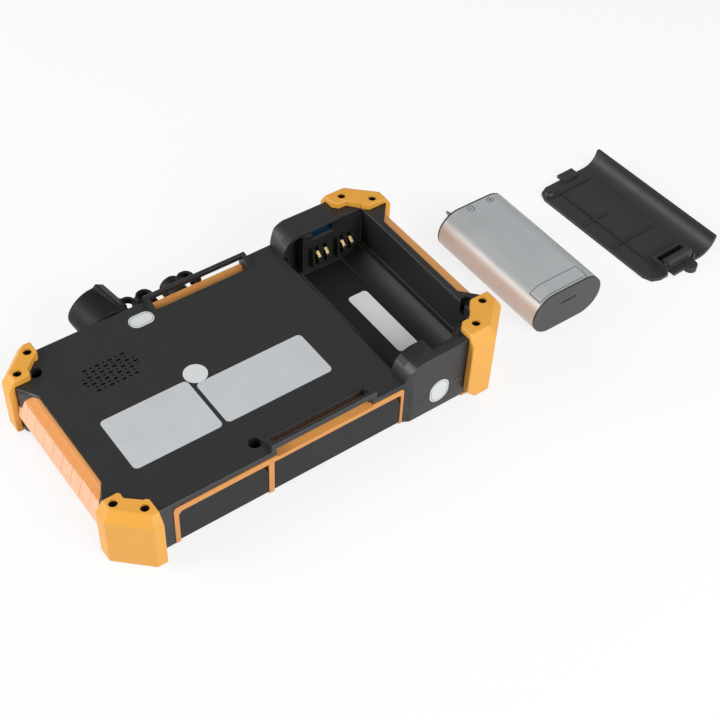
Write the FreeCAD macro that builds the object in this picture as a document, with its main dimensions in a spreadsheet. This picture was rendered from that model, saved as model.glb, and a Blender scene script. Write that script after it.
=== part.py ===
import FreeCAD, Part
import math
import os

import Sketcher
from FreeCAD import Placement, Rotation, Vector

# A handheld optical time domain reflectometer, lying face down with its battery cover and
# battery pack taken off and set down beside it. Every length is in millimetres. While a
# piece is built, X runs along the case from the handle end to the battery end, Y from the
# service ports to the optical ports, and Z up from the table, with zero under the middle
# of the case. The whole set is centred on its own footprint at the end.

doc = FreeCAD.newDocument("Reflectometer")
sheet = doc.addObject("Spreadsheet::Sheet", "Sizes")

# Driving dimensions
SIZES = {
    # Case
    "guard_half_length": 94.5,
    "guard_proud": 5.3,
    "guard_corner_run": 13.6,
    "guard_corner_rise": 12.9,
    "face_level": 2.0,
    "face_thick": 2.4,
    "seam_level": 12.7,
    "back_level": 25.9,
    "back_thick": 2.2,
    "hump_level": 35.2,
    "hump_start": 38.7,
    "hump_flank": 9.5,
    "case_half_width": 49.6,
    "hump_proud": 1.8,
    "hump_step": 3.2,
    "hump_corner_run": 1.5,
    "case_end": 91.4,
    "case_corner_run": 11.9,
    "case_corner_rise": 9.4,
    "side_wall": 4.2,
    "end_wall": 2.2,
    # Handle recesses at the two ends
    "left_recess": 85.8,
    "left_recess_run": 10.0,
    "left_mouth_in": 2.2,
    "right_recess": 83.3,
    "right_recess_run": 8.9,
    "right_mouth_in": 0.3,
    # Corner guards
    "left_guard_top": 29.4,
    "right_guard_top": 38.4,
    "guard_bevel_drop": 4.8,
    "guard_bevel_in": 3.2,
    "left_wing_reach": 76.2,
    "left_guard_wrap": 14.4,
    "left_tab_reach": 83.8,
    "left_tab_long": 8.6,
    "right_wing_reach": 69.2,
    "right_guard_wrap": 14.1,
    "right_tab_reach": 80.0,
    "right_tab_long": 8.1,
    "left_tab_flat": 2.4,
    "right_tab_flat": 6.0,
    "left_tab_corner": 1.3,
    "right_tab_corner": 2.4,
    "foot_bevel": 1.2,
    "wing_foot_cut": 5.6,
    "guard_screw_head": 1.7,
    "guard_screw_seat": 1.6,
    "guard_screw_sink": 0.9,
    "guard_screw_shank": 0.9,
    "guard_screw_length": 9.0,
    "left_screw_long": 79.8,
    "left_screw_in": 7.7,
    "left_screw_end": 88.4,
    "left_screw_up": 3.6,
    "right_screw_long": 75.6,
    "right_screw_in": 7.3,
    "right_screw_end": 86.2,
    "right_screw_up": 3.3,
    # End grips
    "grip_reach": 92.6,
    "grip_shoulder": 88.1,
    "grip_shoulder_drop": 0.6,
    "grip_strip": 1.6,
    "grip_drop": 0.5,
    "grip_facet_out": 90.2,
    "grip_facet_drop": 4.1,
    "grip_side_low": 10.5,
    "grip_foot": 2.2,
    "grip_foot_out": 90.5,
    "grip_foot_rise": 0.8,
    "grip_play": 0.3,
    "grip_pad_pitch": 7.4,
    "grip_pad_step": 0.7,
    "grip_pad_lean": 3.5,
    "grip_pad_start": -0.6,
    # Battery bay
    "bay_right": 80.4,
    "bay_near_wall": 11.0,
    "bay_far_wall": 13.4,
    "bay_lip": 1.0,
    "bay_middle": 59.5,
    "bay_axis_level": 22.2,
    "pack_play": 0.3,
    "bay_ledge_level": 16.5,
    "bay_floor_thick": 1.6,
    "bay_tub_side": 8.1,
    "bay_tub_wall": 2.2,
    "cover_thick": 1.8,
    "notch_half": 8.25,
    "notch_middle": 61.75,
    "notch_depth": 4.6,
    "notch_floor": 20.0,
    "notch_lip": 3.3,
    "notch_side": 6.0,
    "pocket_left": 40.0,
    "pocket_right": 48.6,
    "pocket_deep": 6.5,
    "pocket_low": 13.0,
    "catch_middle": 59.4,
    "catch_half": 5.4,
    "catch_low": 30.5,
    "catch_high": 34.6,
    "catch_deep": 4.0,
    "catch_wall": 0.5,
    "contact_block_half": 4.5,
    "contact_block_spread": 6.6,
    "contact_block_low": 16.0,
    "contact_block_high": 26.4,
    "contact_block_deep": 2.8,
    "contact_middle": 63.1,
    "contact_spring_spread": 2.15,
    "contact_spring_wide": 1.4,
    "contact_spring_proud": 2.0,
    "contact_spring_reach": 2.4,
    "contact_spring_raise": 1.6,
    "contact_spring_thick": 0.5,
    # Strap bars
    "strap_left": 23.4,
    "strap_right": 22.5,
    "strap_leg": 2.2,
    "strap_bar_top": 29.5,
    "strap_bar_deep": 2.5,
    "strap_bar_thick": 2.0,
    "strap_bar_in": 0.2,
    "strap_room": 6.8,
    "strap_ramp_run": 1.6,
    "strap_ledge_level": 22.5,
    "strap_ledge_thick": 1.6,
    "strap_rib": 1.5,
    # Side trim frames, flaps and their hinge
    "trim_left": 69.7,
    "trim_right": 38.3,
    "trim_top": 23.3,
    "trim_band": 3.0,
    "trim_side_left": 2.1,
    "trim_side_right": 1.3,
    "trim_post_left": 27.2,
    "trim_post_right": 24.7,
    "trim_foot": 2.1,
    "trim_recess": 2.4,
    "trim_proud": 0.3,
    "flap_gap": 0.25,
    "flap_thick": 2.1,
    "flap_corner_run": 1.8,
    "flap_corner_drop": 4.7,
    "flap_hinge_level": 3.3,
    "flap_pin": 0.5,
    "flap_pin_play": 0.06,
    # Screen and electronics
    "window_left": 76.0,
    "window_right": 32.0,
    "window_in": 13.4,
    "glass_border": 4.0,
    "glass_thick": 1.4,
    "glass_recess": 1.5,
    "screen_thick": 3.0,
    "screen_border": 3.0,
    "board_level": 9.2,
    "board_thick": 1.6,
    "board_left": 79.0,
    "board_right": 34.0,
    "board_play": 1.4,
    "board_post": 2.5,
    "board_post_in": 3.0,
    "case_screw_head": 2.3,
    "case_screw_tall": 1.8,
    "case_screw_shank": 1.2,
    "case_screw_play": 0.05,
    "case_screw_well": 2.7,
    "case_screw_seat": 6.5,
    "case_post": 4.2,
    "case_screw_mid": 28.3,
    "case_screw_in": 8.1,
    "case_screw_end": 81.3,
    "end_screw_in": 11.5,
    "hump_screw": 82.7,
    "hump_screw_in": 18.1,
    # Keys
    "key_proud": 0.8,
    "key_flange": 0.9,
    "key_flange_thick": 0.8,
    "key_gap": 0.25,
    "key_travel": 0.6,
    "pad_middle": 62.0,
    "pad_spread": 11.5,
    "ok_key": 5.2,
    "arrow_key": 4.4,
    "function_key_half": 7.0,
    "function_key_deep": 3.6,
    "back_key_deep": 3.0,
    "test_key_side": 29.0,
    "back_key_side": 21.0,
    "power_key": 4.6,
    "power_key_deep": 4.0,
    "plunger": 1.2,
    "power_key_side": 31.0,
    "dome": 3.0,
    "dome_tall": 0.7,
    "key_board_level": 7.5,
    "key_board_thick": 1.2,
    "key_board_left": 44.0,
    "key_board_right": 79.0,
    "key_board_in": 7.4,
    "key_board_stand": 1.6,
    "key_board_stand_in": 2.0,
    "lamp": 1.2,
    "lamp_spread": 12.0,
    "lamp_in": 3.5,
    # Speaker
    "speaker_x": 56.0,
    "speaker_y": 22.0,
    "speaker": 12.4,
    "speaker_tall": 4.2,
    "speaker_cloth": 0.4,
    "grille_pitch": 2.84,
    "grille_row": 2.05,
    "grille_slot": 1.9,
    "grille_slot_wide": 1.1,
    "grille_hole": 0.5,
    "grille_half_long": 11.5,
    "grille_half_wide": 6.3,
    "grille_end_half": 2.2,
    # Optical ports and caps
    "fibre_port_x": 39.7,
    "meter_port_x": 20.0,
    "laser_port_x": 6.3,
    "port_level": 14.2,
    "laser_level": 16.0,
    "port_barrel": 4.8,
    "port_barrel_tall": 6.0,
    "port_flange_thick": 1.4,
    "small_barrel": 3.4,
    "ferrule_bore": 1.25,
    "port_tail_in": 4.4,
    "cap_level": 15.4,
    "cap_base": 11.5,
    "cap_tip": 9.7,
    "cap_long": 19.4,
    "cap_bore": 8.2,
    "cap_end": 3.0,
    "cap_blunt": 2.0,
    "cap_ridge_out": 11.5,
    "cap_ridge_in": 8.8,
    "cap_ridge_wide": 7.4,
    "cap_ridge_from": 3.6,
    "cap_ridge_short": 0.9,
    "cap_ridge_turn": 44.0,
    "cap_turn": 15.8,
    "cap_lift": 14.7,
    "small_cap": 5.3,
    "small_cap_long": 11.2,
    "small_cap_bore": 3.7,
    "small_cap_end": 2.5,
    "small_cap_stand": 0.2,
    "tether_wide": 3.6,
    "tether_thick": 1.4,
    "tether_reach": 5.4,
    "tether_level": 21.6,
    "tether_root": 2.4,
    "fibre_tether_cap": 33.3,
    "fibre_tether_end": 26.9,
    "meter_tether_end": 24.9,
    "meter_tether_cap": 18.6,
    "laser_tether_cap": 4.6,
    "laser_tether_end": 1.8,
    "anchor": 2.6,
    "anchor_tall": 2.8,
    "anchor_gap": 0.2,
    # Optics inside
    "module_left": 46.0,
    "module_right": 11.0,
    "module_gap": 5.0,
    "module_long": 40.0,
    "module_tall": 8.0,
    "coil_x": 28.5,
    "coil": 14.0,
    "coil_inner": 11.0,
    "coil_tall": 2.4,
    "detector": 3.3,
    "detector_long": 8.0,
    "laser_tube": 3.4,
    "laser_long": 18.0,
    # Sockets behind the flaps
    "socket_front": 1.2,
    "socket_play": 0.15,
    "power_socket_left": -66.0,
    "power_socket_wide": 9.0,
    "power_socket_tall": 8.4,
    "power_socket_deep": 14.0,
    "power_socket_bore": 2.95,
    "power_socket_pin": 1.0,
    "usb_host_left": -56.0,
    "usb_host_wide": 13.5,
    "usb_host_tall": 6.2,
    "usb_host_deep": 14.0,
    "usb_device_left": -41.4,
    "usb_device_wide": 8.6,
    "usb_device_tall": 3.3,
    "usb_device_deep": 8.0,
    "ethernet_low": 7.5,
    "ethernet_a_left": -21.5,
    "ethernet_b_left": -1.5,
    "ethernet_wide": 16.0,
    "ethernet_tall": 12.6,
    "ethernet_deep": 18.0,
    "card_slot_left": 19.0,
    "card_slot_wide": 14.5,
    "card_slot_tall": 2.2,
    "card_slot_deep": 15.0,
    # Battery pack, lying beside the case
    "pack_x": 136.1,
    "pack_y": 7.75,
    "cell": 9.1,
    "cell_long": 65.0,
    "cell_gap": 0.2,
    "cell_play": 0.3,
    "pack_lining": 1.1,
    "pack_crowding": 0.4,
    "pack_sleeve": 0.6,
    "pack_cap_web": 1.4,
    "pack_cap_thick": 0.9,
    "pack_cap_plug": 1.5,
    "pack_cap_play": 0.1,
    "pack_tab_x": 12.0,
    "pack_tab_wide": 3.0,
    "pack_tab_tip": 0.9,
    "pack_tab_long": 4.2,
    "pack_tab_thick": 0.8,
    "pack_tab_level": 17.6,
    "pack_pad_wide": 3.2,
    "pack_pad_half_tall": 2.6,
    "pack_pad_thick": 0.3,
    "pack_mark_half": 4.5,
    "pack_mark_deep": 0.6,
    "pack_mark_tall": 0.9,
    "pack_mark_up": 3.2,
    # Battery cover, lying inside up
    "cover_x": 184.4,
    "cover_y": 7.8,
    "cover_turn": 1.9,
    "cover_play": 0.25,
    "cover_corner": 6.0,
    "cover_tab_thick": 1.6,
    "cover_tab_out": 2.5,
    "cover_boss_in": 1.8,
    "cover_boss_along": 1.4,
    "cover_boss_tall": 1.6,
    "cover_rib": 0.7,
    "cover_rib_tall": 0.8,
    "cover_rib_sink": 0.5,
    "cover_long_rib_in": 8.6,
    "cover_long_rib_near": 4.0,
    "cover_long_rib_far": 8.0,
    "cover_far_rib": 7.95,
    "cover_middle_rib": 31.95,
    "cover_near_rib": 27.45,
    "cover_rib_start": 1.5,
    "cover_rib_end": 28.5,
    "cover_middle_rib_end": 18.0,
    "cover_boss": 2.4,
    "cover_boss_hole": 1.1,
    "latch_half": 7.6,
    "latch_play": 0.4,
    "latch_guide_long": 9.5,
    "latch_guide_tall": 3.4,
    "latch_wall": 1.4,
    "latch_slot": 4.2,
    "latch_spring_tall": 8.0,
    "latch_spring_thick": 1.3,
    "latch_spring_deep": 4.6,
    "latch_hook": 3.4,
    "latch_tab": 3.2,
    # Labels and seals, all bare
    "label_thick": 0.15,
    "first_label_left": 72.9,
    "first_label_right": 33.4,
    "first_label_near": 27.4,
    "first_label_far": 1.0,
    "second_label_left": 31.5,
    "second_label_right": -18.9,
    "second_label_near": 27.2,
    "second_label_far": 2.9,
    "label_corner": 2.0,
    "round_seal": 5.1,
    "round_seal_x": 28.5,
    "round_seal_y": 2.0,
    "screw_seal_left": 36.9,
    "screw_seal_right": 25.7,
    "screw_seal_near": 37.0,
    "screw_seal_far": 44.2,
    "screw_seal_corner": 3.4,
    "hump_seal": 4.9,
    "hump_seal_straight": 2.6,
    "hump_seal_x": 55.9,
    "bay_label_left": 56.5,
    "bay_label_right": 66.5,
    "bay_label_near": 24.0,
    "bay_label_far": 15.0,
    "bay_label_corner": 1.8,
}

for row, (alias, value) in enumerate(SIZES.items(), start=1):
    cell = "A%d" % row
    sheet.set(cell, str(value))
    sheet.setAlias(cell, alias)
doc.recompute()


class Size:
    """A length bound to the sheet: the expression for it and the value it has now."""

    def __init__(self, text, value):
        self.text = text
        self.value = value

    def __add__(self, other):
        return Size("(%s + %s)" % (self.text, text_of(other)), self.value + value_of(other))

    def __radd__(self, other):
        return Size("(%s + %s)" % (text_of(other), self.text), value_of(other) + self.value)

    def __sub__(self, other):
        return Size("(%s - %s)" % (self.text, text_of(other)), self.value - value_of(other))

    def __rsub__(self, other):
        return Size("(%s - %s)" % (text_of(other), self.text), value_of(other) - self.value)

    def __mul__(self, other):
        return Size("(%s * %s)" % (self.text, text_of(other)), self.value * value_of(other))

    __rmul__ = __mul__

    def __truediv__(self, other):
        return Size("(%s / %s)" % (self.text, text_of(other)), self.value / value_of(other))

    def __neg__(self):
        return Size("(0 - %s)" % self.text, -self.value)


def text_of(size):
    """The expression of a size, or of a plain number."""
    return size.text if isinstance(size, Size) else repr(float(size))


def value_of(size):
    """The present value of a size, or of a plain number."""
    return size.value if isinstance(size, Size) else float(size)


class Sheet:
    """The sheet's cells by name, each as a Size."""

    def __getattr__(self, alias):
        return Size("Sizes." + alias, float(sheet.get(alias)))


s = Sheet()
ZERO = Size("0", 0.0)

# Sizes that follow from the driving ones, so that neighbours keep together
s.guard_half_width = s.case_half_width + s.guard_proud
s.hump_half_width = s.case_half_width + s.hump_proud
s.cavity_half_width = s.case_half_width - s.side_wall
s.left_wing_half = s.case_half_width - s.left_guard_wrap
s.right_wing_half = s.case_half_width - s.right_guard_wrap
s.left_tab_half = s.left_wing_half + s.left_tab_long
s.right_tab_half = s.right_wing_half + s.right_tab_long
s.left_screw_wide = s.guard_half_width - s.left_screw_in
s.right_screw_wide = s.guard_half_width - s.right_screw_in
s.left_screw_side = s.left_wing_half + s.left_screw_up
s.right_screw_side = s.right_wing_half + s.right_screw_up
s.grip_half = s.left_wing_half - s.grip_play
s.left_recess_half = s.grip_half - s.left_recess_run
s.left_recess_mouth = s.grip_half - s.left_mouth_in
s.right_recess_half = s.grip_half - s.right_recess_run
s.right_recess_mouth = s.right_wing_half - s.right_mouth_in
s.case_screw_side = s.case_half_width - s.case_screw_in
s.case_screw_corner = s.case_half_width - s.end_screw_in
s.hump_screw_side = s.hump_half_width - s.hump_screw_in
s.strap_bar_face = s.case_half_width - s.strap_bar_in
s.strap_notch_in = s.strap_bar_face - s.strap_room
s.strap_ramp = s.strap_notch_in - s.strap_ramp_run
s.window_half = s.cavity_half_width - s.window_in
s.board_half = s.cavity_half_width - s.board_play
s.key_board_half = s.cavity_half_width - s.key_board_in
s.module_far = s.cavity_half_width - s.port_tail_in - s.detector_long - s.module_gap
s.module_near = s.module_long - s.module_far
s.coil_y = (s.module_far - s.module_near) / 2
s.cell_spread = s.cell + s.cell_gap
s.pack_radius = s.cell + s.pack_lining + s.pack_sleeve
s.pack_spread = s.cell_spread - s.pack_crowding
s.pack_long = s.cell_long + (s.pack_cap_web + s.cell_play) * 2
s.bay_near = s.hump_half_width - s.bay_near_wall
s.bay_far = s.hump_half_width - s.bay_far_wall
s.bay_lip_far = s.bay_far + s.bay_lip
s.bay_axis_spread = s.pack_spread
s.bay_cradle = s.pack_radius + s.pack_play
PAST = 5.0
TURN = {
    "X": Rotation(Vector(0, 1, 0), 90),
    "Y": Rotation(Vector(1, 0, 0), -90),
    "Z": Rotation(),
}
PLANES = {"XY": "XY_Plane", "XZ": "XZ_Plane", "YZ": "YZ_Plane"}
pieces = {}


def bind(piece, prop, size):
    """Tie one property of a piece to the sheet."""
    piece.setExpression(prop, text_of(size))


def block(name, x, y, z):
    """A block; x, y and z are each a low and a high side."""
    piece = doc.addObject("Part::Box", name)
    for prop, axis, (low, high) in zip(("Length", "Width", "Height"), "xyz", (x, y, z)):
        bind(piece, prop, high - low)
        bind(piece, "Placement.Base." + axis, low)
    return piece


def rod(name, centre, radius, low, high, along="Z"):
    """A cylinder from low to high along an axis, centred on its other two coordinates."""
    piece = doc.addObject("Part::Cylinder", name)
    piece.Placement = Placement(Vector(), TURN[along])
    bind(piece, "Radius", radius)
    bind(piece, "Height", high - low)
    place(piece, centre, low, along)
    return piece


def place(piece, centre, low, along):
    """Put a round piece's base at low on its axis."""
    first, second = centre
    base = {"X": (low, first, second), "Y": (first, low, second), "Z": (first, second, low)}[along]
    for axis, size in zip("xyz", base):
        bind(piece, "Placement.Base." + axis, size)


def fuse(name, *parts):
    """Join parts into one solid."""
    piece = doc.addObject("Part::MultiFuse", name)
    piece.Shapes = list(parts)
    piece.Refine = True
    return piece


def cut(name, base, *tools):
    """Take one or more tools out of a base."""
    piece = doc.addObject("Part::Cut", name)
    piece.Base = base
    piece.Tool = tools[0] if len(tools) == 1 else fuse(name + "_cuts", *tools)
    piece.Refine = True
    return piece


def common(name, *parts):
    """Keep what all the parts share."""
    piece = doc.addObject("Part::MultiCommon", name)
    piece.Shapes = list(parts)
    return piece


def group(name, *parts):
    """Hold separate solids in one piece."""
    piece = doc.addObject("Part::Compound", name)
    piece.Links = list(parts)
    return piece


def outline_sketch(body, name, points, plane):
    """A closed outline of straight lines in a body, each corner tied to the sheet."""
    sketch = body.newObject("Sketcher::SketchObject", name)
    origin = [part for part in body.Origin.OriginFeatures if part.Role == PLANES[plane]][0]
    sketch.AttachmentSupport = [(origin, "")]
    sketch.MapMode = "FlatFace"
    corners = [Vector(value_of(across), value_of(up), 0) for across, up in points]
    for index, corner in enumerate(corners):
        sketch.addGeometry(Part.LineSegment(corner, corners[(index + 1) % len(corners)]))
    for index in range(len(corners)):
        sketch.addConstraint(Sketcher.Constraint("Coincident", index, 2, (index + 1) % len(corners), 1))
    for index, (across, up) in enumerate(points):
        for kind, size in (("DistanceX", across), ("DistanceY", up)):
            number = sketch.addConstraint(Sketcher.Constraint(kind, -1, 1, index, 1, value_of(size)))
            sketch.setExpression("Constraints[%d]" % number, text_of(size))
    return sketch


def prism(name, points, low, high, plane="XY"):
    """A straight-sided outline padded from low to high, square to its plane."""
    body = doc.addObject("PartDesign::Body", name)
    sketch = outline_sketch(body, name + "_outline", points, plane)
    bind(sketch, "AttachmentOffset.Base.z", -high if plane == "XZ" else low)
    pad = body.newObject("PartDesign::Pad", name + "_pad")
    pad.Profile = sketch
    bind(pad, "Length", high - low)
    return body


def turned(name, profile):
    """A profile of radius and height turned about the vertical axis."""
    body = doc.addObject("PartDesign::Body", name)
    sketch = outline_sketch(body, name + "_profile", profile, "XZ")
    spin = body.newObject("PartDesign::Revolution", name + "_spin")
    spin.Profile = sketch
    spin.ReferenceAxis = (sketch, ["V_Axis"])
    spin.Angle = 360.0
    return body


def both_sides(points):
    """An outline given for one side of the long axis, closed by its mirror image."""
    return points + [(across, -up) for across, up in reversed(points)]


def node(name, piece, pose=Placement()):
    """Record a finished sub-part under its name, with its own pose."""
    piece.Label = name
    pieces[name] = (piece, pose)
    return piece


# Shapes that several pieces share
def case_outline():
    """The plan shape of the case, with a recess for the grip at each end."""
    corner_half = s.case_half_width - s.case_corner_rise
    hump_corner_half = s.case_half_width - s.case_corner_rise
    return both_sides([
        (-s.left_recess, s.left_recess_half),
        (-s.case_end, s.left_recess_mouth),
        (-s.case_end, corner_half),
        (s.case_corner_run - s.case_end, s.case_half_width),
        (s.hump_start + ZERO, s.case_half_width),
        (s.hump_start + s.hump_step, s.hump_half_width),
        (s.case_end - s.case_corner_run + s.hump_corner_run, s.hump_half_width),
        (s.case_end + ZERO, hump_corner_half),
        (s.case_end + ZERO, s.right_recess_mouth),
        (s.right_recess + ZERO, s.right_recess_half),
    ])


def case_prism(name, low, high):
    """The case's plan shape between two levels."""
    return prism(name, case_outline(), low, high)


def hump_body(name, low):
    """The raised battery end, from low up to its top, with its rounded flank."""
    past_end = s.guard_half_length + PAST
    past_side = s.guard_half_width + PAST
    axis = s.hump_start + s.hump_flank
    level = s.hump_level - s.hump_flank
    tall = block(name + "_tall", (s.hump_start, past_end), (-past_side, past_side), (low, s.hump_level))
    corner = block(name + "_corner", (s.hump_start - PAST, axis), (-past_side, past_side),
                   (level, s.hump_level + PAST))
    flank = rod(name + "_flank", (axis, level), s.hump_flank, -past_side, past_side, "Y")
    shoulder = cut(name + "_shoulder", corner, flank)
    rounded = cut(name + "_rounded", tall, shoulder)
    return common(name, case_prism(name + "_plan", low, s.hump_level), rounded)


def screw_places():
    """Where the case screws stand: x, y and the level of the surface they sink from."""
    return [
        (-s.case_screw_mid, -s.case_screw_side, s.back_level),
        (-s.case_screw_mid, s.case_screw_side, s.back_level),
        (-s.case_screw_end, s.case_screw_corner, s.back_level),
        (s.hump_screw + ZERO, -s.hump_screw_side, s.hump_level),
    ]


def guard_screw_places():
    """Where the guard screws stand: x, y and the top of the guard there."""
    places = []
    for side in (-1, 1):
        places += [
            (-s.left_screw_long, side * s.left_screw_wide, s.left_guard_top, s.back_level),
            (-s.left_screw_end, side * s.left_screw_side, s.left_guard_top, s.back_level),
            (s.right_screw_long + ZERO, side * s.right_screw_wide, s.right_guard_top, s.hump_level),
            (s.right_screw_end + ZERO, side * s.right_screw_side, s.right_guard_top, s.hump_level),
        ]
    return places


def socket_places():
    """The sockets behind the flaps: left, right, low, high and depth of each."""
    board = s.board_level + s.board_thick
    return {
        "power_socket": socket_box(s.power_socket_left, s.power_socket_wide, board, s.power_socket_tall,
                                   s.power_socket_deep),
        "usb_host": socket_box(s.usb_host_left, s.usb_host_wide, board, s.usb_host_tall, s.usb_host_deep),
        "usb_device": socket_box(s.usb_device_left, s.usb_device_wide, board, s.usb_device_tall,
                                 s.usb_device_deep),
        "ethernet_a": socket_box(s.ethernet_a_left, s.ethernet_wide, s.ethernet_low, s.ethernet_tall,
                                 s.ethernet_deep),
        "ethernet_b": socket_box(s.ethernet_b_left, s.ethernet_wide, s.ethernet_low, s.ethernet_tall,
                                 s.ethernet_deep),
        "card_slot": socket_box(s.card_slot_left, s.card_slot_wide, board, s.card_slot_tall, s.card_slot_deep),
    }


def socket_box(left, wide, low, tall, deep):
    """One socket's box: its sides, levels and depth."""
    return left, left + wide, low, low + tall, deep


def socket_front():
    """How far out the sockets reach."""
    return -s.cavity_half_width - s.socket_front


def port_holes(name):
    """A hole through the near wall for each socket."""
    play = s.socket_play
    return [
        block("%s_%s_hole" % (name, port), (left - play, right + play),
              (-s.guard_half_width, 0.5 - s.cavity_half_width), (low - play, high + play))
        for port, (left, right, low, high, _deep) in socket_places().items()
    ]


def trim_recesses(name):
    """The shallow recess that each side trim frame lies in, open at its foot."""
    tools = []
    for label, side in (("near", -1), ("far", 1)):
        inner = s.case_half_width - s.trim_recess
        span = (inner, s.guard_half_width) if side > 0 else (-s.guard_half_width, -inner)
        tools.append(block("%s_%s_recess" % (name, label), (-s.trim_left, s.trim_right), span,
                           (s.face_level - PAST, s.trim_top)))
    return tools


def side_span(side, inner, outer):
    """A low and high Y for a span given by its distances from the middle."""
    return (inner, outer) if side > 0 else (-outer, -inner)


def port_places():
    """The optical ports: x, level, barrel radius."""
    return {
        "fibre": (-s.fibre_port_x, s.port_level, s.port_barrel),
        "meter": (-s.meter_port_x, s.port_level, s.small_barrel),
        "laser": (-s.laser_port_x, s.laser_level, s.small_barrel),
    }


# Front shell, which lies on the table side
def key_places():
    """Each key: x, y, half length along X and half width along Y; round keys have equal halves."""
    return {
        "ok_key": (s.pad_middle, ZERO, s.ok_key, s.ok_key),
        "up_key": (s.pad_middle, s.pad_spread + ZERO, s.arrow_key, s.arrow_key),
        "down_key": (s.pad_middle, -s.pad_spread, s.arrow_key, s.arrow_key),
        "left_key": (s.pad_middle - s.pad_spread, ZERO, s.arrow_key, s.arrow_key),
        "right_key": (s.pad_middle + s.pad_spread, ZERO, s.arrow_key, s.arrow_key),
        "test_key": (s.pad_middle, -s.test_key_side, s.function_key_half, s.function_key_deep),
        "back_key": (s.pad_middle, s.back_key_side + ZERO, s.function_key_half, s.back_key_deep),
        "power_key": (s.pad_middle, s.power_key_side + ZERO, s.power_key, s.power_key_deep),
    }


ROUND_KEYS = ("ok_key",)


def key_shape(name, x, y, half_x, half_y, low, high, grow):
    """A key, or the hole for one, between two levels."""
    if name.split(".")[0] in ROUND_KEYS:
        return rod(name.replace(".", "_"), (x, y), half_x + grow, low, high)
    return block(name.replace(".", "_"), (x - half_x - grow, x + half_x + grow),
                 (y - half_y - grow, y + half_y + grow), (low, high))


def front_shell():
    """The front shell: the face plate with its window and keys, and the lower side walls."""
    floor_top = s.face_level + s.face_thick
    outer = case_prism("front_shell_block", s.face_level, s.seam_level)
    cavity = block("front_shell_cavity", (s.end_wall - s.left_recess, s.bay_right + 0.6),
                   (-s.cavity_half_width, s.cavity_half_width), (floor_top, s.seam_level + PAST))
    border = s.glass_border
    recess = block("front_shell_glass_recess", (-s.window_left - border, s.window_right + border),
                   (-s.window_half - border, s.window_half + border),
                   (s.face_level - PAST, s.face_level + s.glass_recess))
    window = block("front_shell_window", (-s.window_left, s.window_right), (-s.window_half, s.window_half),
                   (s.face_level - PAST, floor_top + PAST))
    tools = [cavity, recess, window]
    for name, (x, y, half_x, half_y) in key_places().items():
        tools.append(key_shape(name + ".hole", x, y, half_x, half_y, s.face_level - PAST,
                               floor_top + PAST, s.key_gap))
    for index, side in enumerate((-1, 1)):
        tools.append(rod("front_shell_lamp_hole_%d" % index,
                         (s.key_board_left + s.lamp_in, side * s.lamp_spread), s.lamp, s.face_level - PAST,
                         floor_top + PAST))
    shell = cut("front_shell_open", outer, *tools, *port_holes("front"), *optical_holes("front"),
                *trim_recesses("front"))
    posts = []
    holes = []
    post_base = s.face_level + s.glass_recess + 0.2
    post_top = s.seam_level
    for index, (x, y, _level) in enumerate(screw_places()):
        posts.append(rod("front_shell_post_%d" % index, (x, y), s.case_post - 1.0, post_base, post_top))
        holes.append(rod("front_shell_pilot_%d" % index, (x, y), s.case_screw_shank + s.case_screw_play,
                         s.face_level + 2.4, s.seam_level + PAST))
    for index, (x, y) in enumerate(board_posts()):
        posts.append(rod("front_shell_board_post_%d" % index, (x, y), s.board_post, post_base, s.board_level))
    inside = block("front_shell_inside", (-s.case_end, s.case_end), (-s.cavity_half_width - 1.0,
                   s.cavity_half_width + 1.0), (post_base, s.seam_level))
    kept = common("front_shell_posts", fuse("front_shell_all_posts", *posts), inside)
    solid = fuse("front_shell_solid", shell, kept)
    return node("front_shell", cut("front_shell", solid, *holes))


def board_posts():
    """The four posts under the main board."""
    inset = s.board_post_in
    return [
        (-s.board_left + inset, -s.board_half + inset),
        (-s.board_left + inset + s.case_post * 2, s.board_half - inset),
        (s.board_right - inset, -s.board_half + inset),
        (s.board_right - inset, s.board_half - inset),
    ]


# Back shell, with the battery bay, strap bars and speaker grille
def bay_space(name):
    """The room that the battery takes: a cradle with a wider opening above it."""
    near = -s.bay_near
    far = s.bay_far
    left = s.bay_middle - s.bay_axis_spread
    right = s.bay_middle + s.bay_axis_spread
    floor = s.bay_axis_level - s.bay_cradle
    above = s.hump_level + PAST
    return fuse(
        name,
        rod(name + "_left", (left, s.bay_axis_level), s.bay_cradle, near, far, "Y"),
        rod(name + "_right", (right, s.bay_axis_level), s.bay_cradle, near, far, "Y"),
        block(name + "_floor", (left, right), (near, far), (floor, s.bay_axis_level)),
        block(name + "_open", (s.hump_start, s.bay_right), (near, far), (s.bay_ledge_level, above)),
        cut(name + "_rebate",
            block(name + "_lip", (s.hump_start, s.bay_right), (near, s.bay_lip_far),
                  (s.hump_level - s.hump_flank, above)), cover_core(name + "_core")),
    )


def cover_core(name):
    """The room under the fitted cover, with the cover's round flank for its far corner."""
    past = s.guard_half_width + PAST
    top = s.hump_level - s.cover_thick
    axis = s.hump_start + s.hump_flank
    level = s.hump_level - s.hump_flank
    room = block(name + "_room", (s.hump_start + s.cover_thick, s.bay_right + PAST), (-past, past), (ZERO, top))
    corner = block(name + "_corner", (s.hump_start, axis), (-past, past), (level, top + PAST))
    flank = rod(name + "_flank", (axis, level), s.hump_flank - s.cover_thick, -past, past, "Y")
    return cut(name, room, cut(name + "_shoulder", corner, flank))


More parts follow.
